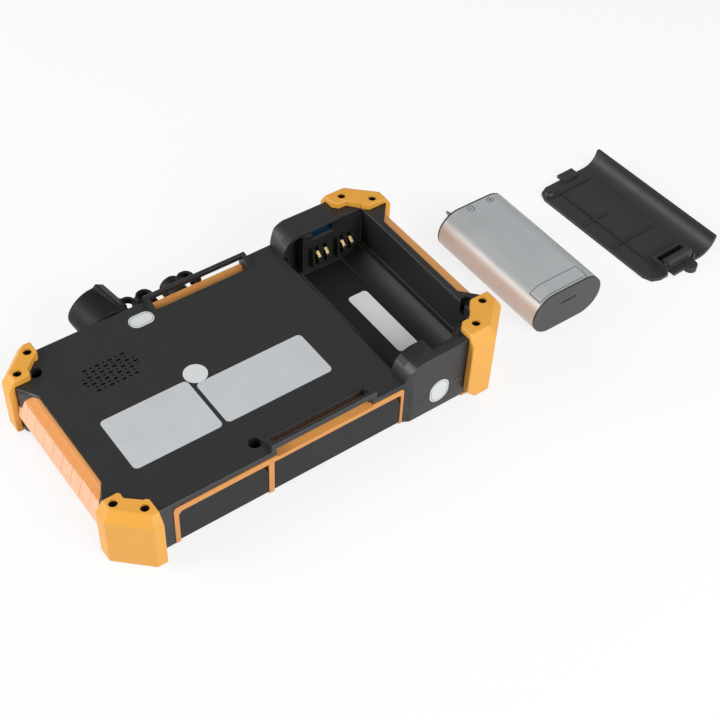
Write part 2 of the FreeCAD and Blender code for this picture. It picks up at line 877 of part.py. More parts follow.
def bay_details():
    """The pockets round the bay: latch notch, finger rest, side pocket, catch seat and key pocket."""
    above = s.hump_level + PAST
    lip_level = s.hump_level - s.cover_thick + 0.1
    notch = (s.notch_middle - s.notch_half, s.notch_middle + s.notch_half)
    deep = -s.bay_near - s.notch_depth
    return [
        block("bay_notch", notch, (deep, -s.bay_near + 1.0), (s.notch_floor, above)),
        block("bay_finger_rest", notch, (deep - s.notch_lip, deep + 1.0), (lip_level, above)),
        block("bay_side_pocket", (notch[1] - 1.0, notch[1] + s.notch_side),
              (-s.bay_near - 3.4, -s.bay_near + 1.0), (lip_level, above)),
        common("bay_far_pocket",
               block("bay_far_pocket_block", (s.pocket_left, s.pocket_right),
                     (s.bay_far - 1.0, s.bay_far + s.pocket_deep), (s.pocket_low, lip_level)),
               cover_core("bay_far_pocket_core")),
        block("bay_catch_seat", (s.catch_middle - s.catch_half - s.catch_wall,
                                 s.catch_middle + s.catch_half + s.catch_wall),
              (s.bay_far - 1.0, s.bay_far + s.catch_deep + s.catch_wall),
              (s.catch_low - s.catch_wall, s.catch_high)),
    ]


def strap_legs(label, side):
    """The bar that a strap goes round, with its two ramped legs on the back."""
    top = s.strap_bar_top
    low = s.back_level - 1.0
    face = s.strap_bar_face
    inner = face - s.strap_bar_thick
    left = (-s.strap_left - s.strap_leg, -s.strap_left)
    right = (s.strap_right, s.strap_right + s.strap_leg)
    ramp = [(side * s.strap_ramp, s.back_level), (side * inner, top), (side * face, top),
            (side * face, low), (side * s.strap_ramp, low)]
    bar = block("strap_bar_" + label, (left[0], right[1]), side_span(side, inner, face),
                (top - s.strap_bar_deep, top))
    return [
        bar,
        prism("strap_leg_left_" + label, ramp, left[0], left[1], "YZ"),
        prism("strap_leg_right_" + label, ramp, right[0], right[1], "YZ"),
    ]


def grille_slots():
    """The speaker's sound holes: rows of short slots in turn with small round holes, in a long hexagon."""
    tools = []
    low = s.back_level - s.back_thick - 1.0
    high = s.back_level + PAST
    pitch = value_of(s.grille_pitch)
    row_pitch = value_of(s.grille_row)
    columns = int(value_of(s.grille_half_long) / pitch)
    rows = int(value_of(s.grille_half_wide) / row_pitch)
    for row in range(-rows, rows + 1):
        short = abs(row) * row_pitch > value_of(s.grille_end_half)
        reach = columns - 1 if short else columns
        for column in range(-reach, reach + 1):
            x = s.grille_pitch * column - s.speaker_x
            y = s.grille_row * row + s.speaker_y
            name = "grille_%d_%d" % (row + rows, column + columns)
            if (row + column) % 2:
                tools.append(rod(name, (x, y), s.grille_hole, low, high))
            else:
                half = s.grille_slot / 2
                wide = s.grille_slot_wide / 2
                tools.append(block(name, (x - half, x + half), (y - wide, y + wide), (low, high)))
    return tools


def back_shell():
    """The back shell: the back of the case and the battery end, with the bay let into it."""
    ceiling = s.back_level - s.back_thick
    low_part = case_prism("back_shell_low", s.seam_level, s.back_level)
    outer = fuse("back_shell_outer", low_part, hump_body("back_shell_hump", s.seam_level))
    cavity = prism("back_shell_cavity", both_sides([
        (s.end_wall - s.left_recess, s.cavity_half_width - 4.0),
        (s.end_wall - s.left_recess + 4.0, s.cavity_half_width),
        (s.hump_start - s.end_wall, s.cavity_half_width),
    ]), s.seam_level - PAST, ceiling)
    far_core = block("back_shell_far_core", (s.pocket_right + 2.0, s.bay_right - 1.0),
                     (s.bay_far + s.pocket_deep + 0.2, s.hump_half_width - s.end_wall),
                     (s.seam_level - PAST, s.catch_low - 3.0))
    hollow = cut("back_shell_hollow", outer, cavity, far_core)
    tub_half = s.bay_axis_spread + s.bay_tub_side
    added = [
        block("back_shell_tub", (s.bay_middle - tub_half, s.bay_middle + tub_half),
              (-s.bay_near - s.bay_tub_wall, s.bay_far + s.bay_tub_wall),
              (s.bay_axis_level - s.bay_cradle - s.bay_floor_thick, s.seam_level + 1.0)),
    ]
    for index, (x, y, _level) in enumerate(screw_places()):
        added.append(rod("back_shell_post_%d" % index, (x, y), s.case_post, s.seam_level, ceiling + 1.0))
    tools = [bay_space("bay_space"), *bay_details(), *grille_slots(), *port_holes("back"),
             *trim_recesses("back")]
    for label, side in (("near", -1), ("far", 1)):
        added += strap_legs(label, side)
        added.append(block("strap_rib_" + label, (-s.strap_left - s.strap_leg, s.strap_right + s.strap_leg),
                           side_span(side, s.strap_notch_in - s.strap_rib, s.cavity_half_width + 1.0),
                           (s.strap_ledge_level - s.strap_ledge_thick - 0.7, ceiling + 1.0)))
        tools.append(block("strap_notch_" + label, (-s.strap_left, s.strap_right),
                           side_span(side, s.strap_notch_in, s.guard_half_width),
                           (s.strap_ledge_level - s.strap_ledge_thick, s.strap_bar_top - s.strap_bar_deep)))
        tools.append(block("strap_gap_" + label, (-s.strap_left, s.strap_right),
                           side_span(side, s.strap_notch_in, s.strap_bar_face - s.strap_bar_thick),
                           (s.strap_ledge_level - s.strap_ledge_thick, s.strap_bar_top + PAST)))
    for index, (x, y, level) in enumerate(screw_places()):
        tools.append(rod("case_screw_well_%d" % index, (x, y), s.case_screw_well,
                         level - s.case_screw_seat, level + PAST))
        tools.append(rod("case_screw_way_%d" % index, (x, y), s.case_screw_shank + s.case_screw_play,
                         s.seam_level - PAST, level))
    for index, (x, y, _top, seat) in enumerate(guard_screw_places()):
        tools.append(rod("guard_screw_way_%d" % index, (x, y), s.guard_screw_shank + s.case_screw_play,
                         seat - s.guard_screw_length, seat + PAST))
    tools += optical_holes("back")
    solid = fuse("back_shell_solid", hollow, *added)
    return node("back_shell", cut("back_shell", solid, *tools))


def optical_holes(name):
    """A hole through the far wall for each optical port."""
    return [
        rod("%s_%s_port_hole" % (name, port), (x, level), port_body_radius(barrel) + s.socket_play,
            s.cavity_half_width - s.port_tail_in - 1.0, s.guard_half_width, "Y")
        for port, (x, level, barrel) in port_places().items()
    ]


def port_body_radius(barrel):
    """The radius of a port's body inside the wall."""
    return barrel * 0.68


# Corner guards
def guard_prism(name, top):
    """The full plan of the guards up to a level, with the bevel round its top and foot."""
    x = s.guard_half_length
    y = s.guard_half_width
    outline = both_sides([
        (-x, y - s.guard_corner_rise),
        (s.guard_corner_run - x, y + ZERO),
        (x - s.guard_corner_run, y + ZERO),
        (x + ZERO, y - s.guard_corner_rise),
    ])
    body = doc.addObject("PartDesign::Body", name)
    levels = [
        ("foot", s.foot_bevel + ZERO, s.foot_bevel, s.foot_bevel, True),
        ("wall", s.foot_bevel + ZERO, top - s.guard_bevel_drop - s.foot_bevel, None, False),
        ("bevel", top - s.guard_bevel_drop, s.guard_bevel_drop, s.guard_bevel_in, False),
    ]
    for label, start, tall, inwards, down in levels:
        sketch = outline_sketch(body, "%s_%s_outline" % (name, label), outline, "XY")
        bind(sketch, "AttachmentOffset.Base.z", start)
        pad = body.newObject("PartDesign::Pad", "%s_%s" % (name, label))
        pad.Profile = sketch
        bind(pad, "Length", tall)
        pad.Reversed = down
        if inwards is not None:
            pad.TaperAngle = -math.degrees(math.atan2(value_of(inwards), value_of(tall)))
    return body


def guard(name, end, side, shared):
    """One corner guard: its share of the bevelled plan, less the case and its screw holes."""
    if end < 0:
        wing, wing_half, tab, tab_half = s.left_wing_reach, s.left_wing_half, s.left_tab_reach, s.left_tab_half
        flat, corner = s.left_tab_flat, s.left_tab_corner
    else:
        wing, wing_half, tab, tab_half = (s.right_wing_reach, s.right_wing_half, s.right_tab_reach,
                                          s.right_tab_half)
        flat, corner = s.right_tab_flat, s.right_tab_corner
    past = s.guard_half_length + PAST
    diagonal_end = tab_half - (tab - wing - flat)
    points = [
        (wing, s.guard_half_width + PAST),
        (wing, tab_half + corner),
        (wing + corner, tab_half),
        (wing + flat, tab_half),
        (tab, diagonal_end),
        (tab, wing_half + corner),
        (tab + corner, wing_half),
        (past, wing_half),
        (past, s.guard_half_width + PAST),
    ]
    points = [(end * x, side * y) for x, y in points]
    top = s.left_guard_top if end < 0 else s.right_guard_top
    region = prism(name + "_region", points, ZERO - 1.0, top + PAST)
    holes = []
    for index, (x, y, level, seat) in enumerate(guard_screw_places()):
        if x.value * end < 0 or y.value * side < 0:
            continue
        holes.append(rod("%s_hole_%d" % (name, index), (x, y), s.guard_screw_shank + s.case_screw_play,
                         seat - 1.0, level + PAST))
        holes.append(rod("%s_seat_%d" % (name, index), (x, y), s.guard_screw_head + 0.15,
                         level - s.guard_screw_sink - s.guard_screw_seat, level + PAST))
    if end > 0:
        foot = s.wing_foot_cut
        run = [(wing - PAST, -PAST), (wing + foot, -PAST), (wing + foot, ZERO), (wing, foot),
               (wing - PAST, foot)]
        holes.append(prism(name + "_foot_cut", run, *side_span(side, s.hump_half_width - 0.4,
                                                              s.guard_half_width + PAST), plane="XZ"))
    solid = common(name + "_block", shared, region)
    return node(name, cut(name, solid, case_shapes[end], *holes))


case_shapes = {}


def guards():
    """The four corner guards."""
    left = guard_prism("left_guard_plan", s.left_guard_top)
    right = guard_prism("right_guard_plan", s.right_guard_top)
    case_shapes[-1] = case_prism("left_case_shape", s.face_level, s.back_level)
    case_shapes[1] = fuse("right_case_shape", case_prism("right_case_low", s.face_level, s.back_level),
                          hump_body("right_case_hump", s.face_level))
    guard("guard_left_near", -1, -1, left)
    guard("guard_left_far", -1, 1, left)
    guard("guard_right_near", 1, -1, right)
    guard("guard_right_far", 1, 1, right)


def screw(name, x, y, seat, head, tall, shank, length):
    """A pan-head screw standing on its seat, with a cross recess in its head."""
    top = seat + tall
    arm = head * 0.6
    slot = head * 0.13
    body = fuse(name + "_body", rod(name + "_head", (x, y), head, seat, top),
                rod(name + "_shank", (x, y), shank, seat - length, seat))
    cross = [
        block(name + "_slot_a", (x - arm, x + arm), (y - slot, y + slot), (top - tall * 0.5, top + 1.0)),
        block(name + "_slot_b", (x - slot, x + slot), (y - arm, y + arm), (top - tall * 0.5, top + 1.0)),
    ]
    return cut(name, body, *cross)


def guard_screws():
    """The eight screws that hold the corner guards."""
    screws = []
    for index, (x, y, level, seat) in enumerate(guard_screw_places()):
        head_seat = level - s.guard_screw_sink - s.guard_screw_seat
        length = head_seat - seat + s.guard_screw_length - 0.6
        screws.append(screw("guard_screw_%d" % index, x, y, head_seat, s.guard_screw_head,
                            s.guard_screw_seat, s.guard_screw_shank, length))
    return node("guard_screws", group("guard_screws", *screws))


def case_screws():
    """The screws that hold the two shells together."""
    screws = []
    for index, (x, y, level) in enumerate(screw_places()):
        seat = level - s.case_screw_seat
        length = seat - s.face_level - 3.0
        screws.append(screw("case_screw_%d" % index, x, y, seat, s.case_screw_head, s.case_screw_tall,
                            s.case_screw_shank, length))
    return node("case_screws", group("case_screws", *screws))


# End grips
def grip(name, end, recess, recess_half, mouth, top):
    """A soft grip that fills the recess at one end, with slanted pads stepped into its face."""
    reach = s.grip_reach
    facet_low = top - s.grip_facet_drop
    profile = [
        (recess, s.grip_foot),
        (s.grip_foot_out, s.grip_foot + s.grip_foot_rise),
        (reach, s.grip_side_low),
        (s.grip_facet_out, facet_low),
        (s.grip_shoulder, top - s.grip_shoulder_drop),
        (recess + s.grip_strip, top),
        (recess, top),
    ]
    half = s.grip_half
    section = prism(name + "_section", [(end * x, z) for x, z in profile], -half, half, "XZ")
    plan_points = both_sides([
        (end * recess, recess_half),
        (end * s.case_end, mouth),
        (end * s.case_end, half),
        (end * (reach + PAST), half),
    ])
    plan = prism(name + "_plan", plan_points, ZERO, top + PAST)
    solid = common(name + "_solid", section, plan)
    return node(name, cut(name, solid, *pad_steps(name, end, facet_low, recess_half)))


def pad_steps(name, end, facet_low, recess_half):
    """The wedges between a grip's pads: each pad starts a step below the one before it."""
    run = value_of(s.grip_reach - s.grip_facet_out)
    fall = value_of(facet_low - s.grip_side_low)
    tilt = Rotation(Vector(0, 1, 0), -end * math.degrees(math.atan2(run, fall)))
    lean = Rotation(Vector(1, 0, 0), -value_of(s.grip_pad_lean))
    slant = math.hypot(run, fall) / math.cos(math.radians(value_of(s.grip_pad_lean)))
    outline = [(-end * s.grip_pad_step, ZERO), (ZERO, s.grip_pad_pitch),
               (end * PAST + ZERO, s.grip_pad_pitch), (end * PAST + ZERO, ZERO)]
    pitch = value_of(s.grip_pad_pitch)
    count = int(2 * value_of(recess_half) / pitch) + 1
    wedges = []
    for index in range(count):
        wedge = prism("%s_step_%d" % (name, index), outline, ZERO - 1.5 * slant, ZERO + 0.5 * slant)
        y = value_of(s.grip_pad_start) + (index - count // 2) * pitch
        middle = Vector(end * value_of(s.grip_reach + s.grip_facet_out) / 2, y,
                        value_of(facet_low + s.grip_side_low) / 2)
        wedge.Placement = Placement(middle, tilt * lean)
        wedges.append(wedge)
    return wedges


def grips():
    """The grips at the two ends."""
    grip("grip_left", -1, s.left_recess, s.left_recess_half, s.left_recess_mouth, s.back_level - s.grip_drop)
    grip("grip_right", 1, s.right_recess, s.right_recess_half, s.right_recess_mouth,
         s.hump_level - s.grip_drop * 2)


# Side trim frames, the flaps and their pin
def flap_windows():
    """The two openings of the near frame, as left and right sides."""
    return {
        "flap_power": (-s.trim_left + s.trim_side_left, -s.trim_post_left),
        "flap_data": (-s.trim_post_right, s.trim_right - s.trim_side_right),
    }


def trim_frame(label, side, windows):
    """One side trim frame: a band over its windows, legs, and the ledge under the strap bar."""
    name = "trim_frame_" + label
    back = s.case_half_width - s.trim_recess
    front = s.case_half_width + s.trim_proud
    plate = block(name + "_plate", (-s.trim_left, s.trim_right), side_span(side, back, front),
                  (s.trim_foot, s.trim_top))
    cuts = []
    for index, (left, right) in enumerate(windows):
        cuts.append(block("%s_window_%d" % (name, index), (left, right),
                          side_span(side, back - 1.0, front + 1.0),
                          (s.trim_foot - 1.0, s.trim_top - s.trim_band)))
    ledge = block(name + "_ledge", (-s.strap_left + 0.1, s.strap_right - 0.1),
                  side_span(side, s.strap_notch_in + 0.1, back + 1.0),
                  (s.strap_ledge_level - s.strap_ledge_thick + 0.1, s.strap_ledge_level))
    body = fuse(name + "_body", cut(name + "_open", plate, *cuts), ledge)
    notch = block(name + "_bar_room", (-s.strap_left + ZERO, s.strap_right),
                  side_span(side, s.strap_notch_in, front + 1.0), (s.strap_ledge_level, s.trim_top + 1.0))
    tools = [notch]
    if side < 0:
        tools.append(rod(name + "_pin_hole", (-hinge_line(), s.flap_hinge_level),
                         s.flap_pin + s.flap_pin_play, -s.trim_left + 1.2, s.trim_right - 0.5, "X"))
    return node(name, cut(name, body, *tools))


def hinge_line():
    """How far out the flaps' hinge lies."""
    return s.case_half_width - s.flap_thick / 2


def flap(name, left, right):
    """A port flap: a plate with a round hinge along its foot."""
    low = left + s.flap_gap
    high = right - s.flap_gap
    top = s.trim_top - s.trim_band - s.flap_gap
    face = s.case_half_width
    points = [(low, s.flap_hinge_level), (high, s.flap_hinge_level), (high, top - s.flap_corner_drop),
              (high - s.flap_corner_run, top), (low, top)]
    plate = prism(name + "_plate", points, -face, s.flap_thick - face, "XZ")
    barrel = rod(name + "_barrel", (-hinge_line(), s.flap_hinge_level), s.flap_thick / 2, low, high, "X")
    bore = rod(name + "_bore", (-hinge_line(), s.flap_hinge_level), s.flap_pin + s.flap_pin_play,
               low - 1.0, high + 1.0, "X")
    return node(name, cut(name, fuse(name + "_body", plate, barrel), bore))


def side_trim():
    """The frames, flaps, hinge pin and the panel round the optical ports."""
    windows = flap_windows()
    trim_frame("near", -1, list(windows.values()))
    trim_frame("far", 1, [(-s.trim_left + s.trim_side_left, s.trim_right - s.trim_side_right)])
    for name, (left, right) in windows.items():
        flap(name, left, right)
    pin = rod("flap_hinge_pin", (-hinge_line(), s.flap_hinge_level), s.flap_pin,
              -s.trim_left + 1.4, s.trim_right - 0.7, "X")
    node("flap_hinge_pin", group("flap_hinge_pin_piece", pin))
    back = s.case_half_width - s.trim_recess
    panel = block("port_panel_plate", (-s.trim_left + s.trim_side_left, s.trim_right - s.trim_side_right),
                  (back, s.case_half_width), (s.trim_foot, s.trim_top - s.trim_band))
    holes = [
        rod("port_panel_%s" % name, (x, level), port_body_radius(barrel) + s.socket_play, back - 1.0,
            s.guard_half_width, "Y")
        for name, (x, level, barrel) in port_places().items()
    ]
    node("port_panel", cut("port_panel", panel, *holes))


# Optical ports, their caps and tethers
def optical_ports():
    """The three optical ports: a flanged barrel outside, a body through the wall and a ferrule in it."""
    ports = []
    ferrules = []
    face = s.case_half_width
    tip = face + s.port_barrel_tall
    tail = s.cavity_half_width - s.port_tail_in
    for name, (x, level, barrel) in port_places().items():
        sleeve = barrel * 0.54
        body = fuse(
            name + "_port_body",
            rod(name + "_port_barrel", (x, level), barrel, face, tip, "Y"),
            rod(name + "_port_flange", (x, level), port_flange_radius(barrel), face,
                face + s.port_flange_thick, "Y"),
            rod(name + "_port_tail", (x, level), port_body_radius(barrel), tail, face + 1.0, "Y"),
        )
        well = rod(name + "_port_well", (x, level), barrel * 0.78, face + 1.0, tip + PAST, "Y")
        bore = rod(name + "_port_bore", (x, level), sleeve, tail + 1.0, tip + PAST, "Y")
        ports.append(cut(name + "_port", body, well, bore))
        outer = rod(name + "_ferrule_body", (x, level), sleeve - 0.02, tail + 1.0, tip - 1.0, "Y")
        inner = rod(name + "_ferrule_bore", (x, level), s.ferrule_bore, tail + 2.5, tip + 1.0, "Y")
        ferrules.append(cut(name + "_ferrule", outer, inner))
    node("optical_ports", group("optical_ports", *ports))
    node("port_ferrules", group("port_ferrules", *ferrules))


def port_flange_radius(barrel):
    """The radius of a port's flange on the wall."""
    return barrel * 1.25


def cap_direction():
    """The way the large cap leans on its port."""
    turn = math.radians(value_of(s.cap_turn))
    lift = math.radians(value_of(s.cap_lift))
    return Vector(-math.sin(turn) * math.cos(lift), math.cos(turn) * math.cos(lift), math.sin(lift))


def cap_pose(wall):
    """Where the large cap stands: its axis up the lean, and its X side towards its tether."""
    start = Vector(value_of(-s.fibre_port_x), wall, value_of(s.cap_level))
    turn = math.radians(value_of(s.cap_ridge_turn))
    side = Vector(math.cos(turn), 0, math.sin(turn))
    return Placement(start, Rotation(side, Vector(), cap_direction(), "ZXY"))


def stand_in(name, piece, pose):
    """A piece built about the origin, moved as a whole to its pose."""
    moved = group(name, piece)
    moved.Placement = pose
    return moved


def cap_body(name, base, tip, long, bore, end):
    """A rubber cap about the vertical axis: a smooth cone with a blunt edge and a blind bore."""
    blunt = s.cap_blunt
    return turned(name, [
        (ZERO, long - end), (bore, long - end), (bore, ZERO - PAST), (base, ZERO - PAST), (base, ZERO),
        (tip, long - blunt), (tip - blunt * 0.3, long - blunt * 0.3), (tip - blunt, long), (ZERO, long),
    ])


def caps():
    """The three dust caps on the optical ports, each moulded in one with its tether."""
    wall = s.case_half_width + s.trim_proud
    round_body = cap_body("fibre_cap_body", s.cap_base, s.cap_tip, s.cap_long, s.cap_bore, s.cap_end)
    half = s.cap_ridge_wide / 2
    ridge = block("fibre_cap_ridge", (s.cap_ridge_in, s.cap_ridge_out), (-half, half),
                  (s.cap_ridge_from, s.cap_long - s.cap_ridge_short))
    pose = cap_pose(value_of(wall))
    round_body.Placement = pose
    big = fuse("fibre_cap_big", round_body, stand_in("fibre_cap_ridge_posed", ridge, pose))
    outside = block("fibre_cap_outside", (-s.guard_half_length, s.guard_half_length),
                    (wall, wall + s.cap_long * 2), (ZERO, s.hump_level))
    trimmed = common("fibre_cap_trimmed", big, outside)
    strap = tether("fibre_tether", -s.fibre_tether_cap, -s.fibre_tether_end)
    node("fibre_cap", fuse("fibre_cap", trimmed, *strap))
    for name, x, level, strap_cap, strap_end in (
            ("meter_cap", -s.meter_port_x, s.port_level, -s.meter_tether_cap, -s.meter_tether_end),
            ("laser_cap", -s.laser_port_x, s.laser_level, -s.laser_tether_cap, s.laser_tether_end + ZERO)):
        low = wall + s.small_cap_stand
        top = low + s.small_cap_long
        body = rod(name + "_round", (x, level), s.small_cap, low, top, "Y")
        nub = rod(name + "_nub", (x, level), s.small_cap * 0.45, top - 1.0, top + 1.2, "Y")
        bore = rod(name + "_bore", (x, level), s.small_cap_bore, low - 1.0, top - s.small_cap_end, "Y")
        flange_room = rod(name + "_flange_room", (x, level), port_flange_radius(s.small_barrel) + 0.3,
                          low - 1.0, s.case_half_width + s.port_flange_thick + 0.3, "Y")
        strap = tether(name + "_tether", strap_cap, strap_end)
        capped = cut(name + "_hollow", fuse(name + "_body", body, nub), bore, flange_room)
        node(name, fuse(name, capped, *strap))


def tether(name, cap_x, end_x):
    """A flat strap from a cap out and round to just short of its anchor: two legs and half a ring."""
    wall = s.case_half_width + s.trim_proud
    turn = wall + s.tether_reach
    half_thick = s.tether_thick / 2
    low = s.tether_level - s.tether_wide / 2
    high = s.tether_level + s.tether_wide / 2
    middle = (cap_x + end_x) / 2
    way = 1 if end_x.value > cap_x.value else -1
    radius = (end_x - cap_x) * (way * 0.5)
    outer = radius + half_thick
    ring = cut(name + "_ring", rod(name + "_outer", (middle, turn), outer, low, high),
               rod(name + "_inner", (middle, turn), radius - half_thick, low - 1.0, high + 1.0))
    half = block(name + "_half", (middle - outer - 1.0, middle + outer + 1.0),
                 (turn, turn + outer + 1.0), (low - 1.0, high + 1.0))
    cap_leg = block(name + "_cap_leg", (cap_x - half_thick, cap_x + half_thick),
                    (wall + s.tether_root, turn), (low, high))
    end_leg = block(name + "_end_leg", (end_x - half_thick, end_x + half_thick),
                    (wall + s.anchor_tall + s.anchor_gap, turn), (low, high))
    return [common(name + "_bend", ring, half), cap_leg, end_leg]


def tether_anchors():
    """The buttons on the trim frame that hold the tethers' ends."""
    wall = s.case_half_width + s.trim_proud
    shared = -(s.fibre_tether_end + s.meter_tether_end) / 2
    buttons = []
    for index, x in enumerate((shared, s.laser_tether_end + ZERO)):
        post = rod("anchor_post_%d" % index, (x, s.tether_level), s.anchor * 0.55, wall,
                   wall + s.anchor_tall, "Y")
        disc = rod("anchor_disc_%d" % index, (x, s.tether_level), s.anchor, wall + s.anchor_tall - 1.2,
                   wall + s.anchor_tall, "Y")
        buttons.append(fuse("anchor_%d" % index, post, disc))
    node("tether_anchors", group("tether_anchors", *buttons))


# Screen, board and what they carry
def screen():
    """The glass, the display behind it and the main board on its posts."""
    border = s.glass_border - 0.2
    low = s.face_level + s.glass_recess - s.glass_thick
    glass = block("display_glass_pane", (-s.window_left - border, s.window_right + border),
                  (-s.window_half - border, s.window_half + border), (low, low + s.glass_thick))
    node("display_glass", group("display_glass_piece", glass))
    top = s.face_level + s.face_thick
    edge = s.screen_border
    module = block("display_module_block", (-s.window_left - edge, s.window_right + edge),
                   (-s.window_half - edge, s.window_half + edge), (top, top + s.screen_thick))
    node("display_module", group("display_module_piece", module))
    board = block("main_board_blank", (-s.board_left, s.board_right), (-s.board_half, s.board_half),
                  (s.board_level, s.board_level + s.board_thick))
    cuts = []
    for index, (x, y, _level) in enumerate(screw_places()[:3]):
        cuts.append(rod("main_board_relief_%d" % index, (x, y), s.case_post + 0.3, s.board_level - 1.0,
                        s.board_level + 3.0))
    for port in ("ethernet_a", "ethernet_b"):
        left, right, _low, _high, deep = socket_places()[port]
        cuts.append(block("main_board_" + port, (left - s.socket_play, right + s.socket_play),
                          (-s.board_half - 1.0, socket_front() + deep + s.socket_play),
                          (s.board_level - 1.0, s.board_level + 3.0)))
    node("main_board", cut("main_board", board, *cuts))


def sockets():
    """The sockets behind the flaps, standing on or let into the main board."""
    solids = {}
    front = socket_front()
    for name, (left, right, low, high, depth) in socket_places().items():
        deep = front + depth
        shell = block(name + "_shell", (left, right), (front, deep), (low, high))
        middle = (left + right) / 2
        if name == "power_socket":
            level = (low + high) / 2
            mouth = rod(name + "_mouth", (middle, level), s.power_socket_bore, front - 1.0, deep - 2.0, "Y")
            pin = rod(name + "_pin", (middle, level), s.power_socket_pin, front + 1.0, deep - 1.0, "Y")
            solids[name] = fuse(name, cut(name + "_open", shell, mouth), pin)
        elif name.startswith("ethernet"):
            half = s.ethernet_wide * 0.37
            room = block(name + "_room", (middle - half, middle + half), (front - 1.0, deep - 4.0),
                         (low + 3.4, high - 2.4))
            key = block(name + "_key", (middle - half / 2, middle + half / 2), (front - 1.0, deep - 4.0),
                        (low + 1.6, low + 4.0))
            solids[name] = cut(name, shell, room, key)
        else:
            wall = 0.5
            room = block(name + "_room", (left + wall, right - wall), (front - 1.0, deep - 1.0),
                         (low + wall, high - wall))
            opened = cut(name + "_open", shell, room)
            tongue_low = low + (high - low) * 0.45
            tongue = block(name + "_tongue", (left + 1.2, right - 1.2), (front + 1.0, deep - 0.5),
                           (tongue_low, tongue_low + (high - low) * 0.22))
            solids[name] = opened if name == "card_slot" else fuse(name, opened, tongue)
    node("power_socket", solids["power_socket"])
    node("usb_sockets", group("usb_sockets", solids["usb_host"], solids["usb_device"]))
    node("ethernet_sockets", group("ethernet_sockets", solids["ethernet_a"], solids["ethernet_b"]))
    node("card_slot", solids["card_slot"])


def optics():
    """The optical module, its fibre coil, the light detector and the red laser."""
    top = s.board_level + s.board_thick
    coil_low = top + s.module_tall
    can = block("optical_module_can", (-s.module_left, -s.module_right), (-s.module_near, s.module_far),
                (top, coil_low))
    node("optical_module", group("optical_module_piece", can))
    centre = (-s.coil_x, s.coil_y)
    wound = rod("fibre_coil_outer", centre, s.coil, coil_low, coil_low + s.coil_tall)
    hollow = rod("fibre_coil_inner", centre, s.coil_inner, coil_low - 1.0, coil_low + s.coil_tall + 1.0)
    node("fibre_coil", cut("fibre_coil", wound, hollow))
    back = s.cavity_half_width - s.port_tail_in
    detector = rod("light_detector_can", (-s.meter_port_x, s.port_level), s.detector, back - s.detector_long,
                   back, "Y")
    node("light_detector", group("light_detector_piece", detector))
    laser = rod("red_laser_tube", (-s.laser_port_x, s.laser_level), s.laser_tube, back - s.laser_long, back,
                "Y")
    node("red_laser", group("red_laser_piece", laser))


def speaker():
    """The speaker under its grille, with a cloth between them."""
    ceiling = s.back_level - s.back_thick
    cloth = s.speaker_cloth
    low = ceiling - cloth - s.speaker_tall
    basket = rod("speaker_basket", (-s.speaker_x, s.speaker_y), s.speaker, low + 1.6, ceiling - cloth)
    magnet = rod("speaker_magnet", (-s.speaker_x, s.speaker_y), s.speaker * 0.55, low, low + 2.0)
    node("speaker", fuse("speaker", basket, magnet))
    node("speaker_cloth", group("speaker_cloth_piece", rod("speaker_cloth_disc", (-s.speaker_x, s.speaker_y),
                                                          s.speaker - 0.3, ceiling - cloth, ceiling)))


# Keys
def keys():
    """The keys, each a cap with a flange behind the face plate, and the board under them."""
    plate_back = s.face_level + s.face_thick
    for name, (x, y, half_x, half_y) in key_places().items():
        low = s.face_level - s.key_proud
        stem = key_shape(name + ".cap", x, y, half_x, half_y, low, plate_back + s.key_flange_thick, ZERO)
        flange = key_shape(name + ".flange", x, y, half_x, half_y, plate_back + ZERO,
                           plate_back + s.key_flange_thick, s.key_flange)
        plunger = rod(name + "_plunger", (x, y), s.plunger, plate_back, key_dome_low() - s.key_travel - 0.1)
        node(name, fuse(name, stem, flange, plunger))
    top = s.key_board_level
    board = block("key_board_blank", (s.key_board_left, s.key_board_right),
                  (-s.key_board_half, s.key_board_half), (top, top + s.key_board_thick))
    posts = []
    inset = s.key_board_stand_in
    for side_x in (s.key_board_left + inset, s.key_board_right - inset):
        for side in (-1, 1):
            posts.append((side_x, side * (s.key_board_half - inset)))
    stands = [rod("key_board_stand_%d" % index, place_xy, s.key_board_stand, plate_back, top)
              for index, place_xy in enumerate(posts)]
    domes = [rod("key_dome_%s" % name, (x, y), s.dome, top - s.dome_tall, top)
             for name, (x, y, _half_x, _half_y) in key_places().items()]
    node("key_board", fuse("key_board", board, *stands, *domes))
    lamps = [
        rod("status_lamp_%d" % index, (s.key_board_left + s.lamp_in, side * s.lamp_spread), s.lamp - 0.05,
            s.face_level, top)
        for index, side in enumerate((-1, 1))
    ]
    node("status_lamps", group("status_lamps", *lamps))


def key_dome_low():
    """The lowest level of the domes that the keys press."""
    return s.key_board_level - s.dome_tall


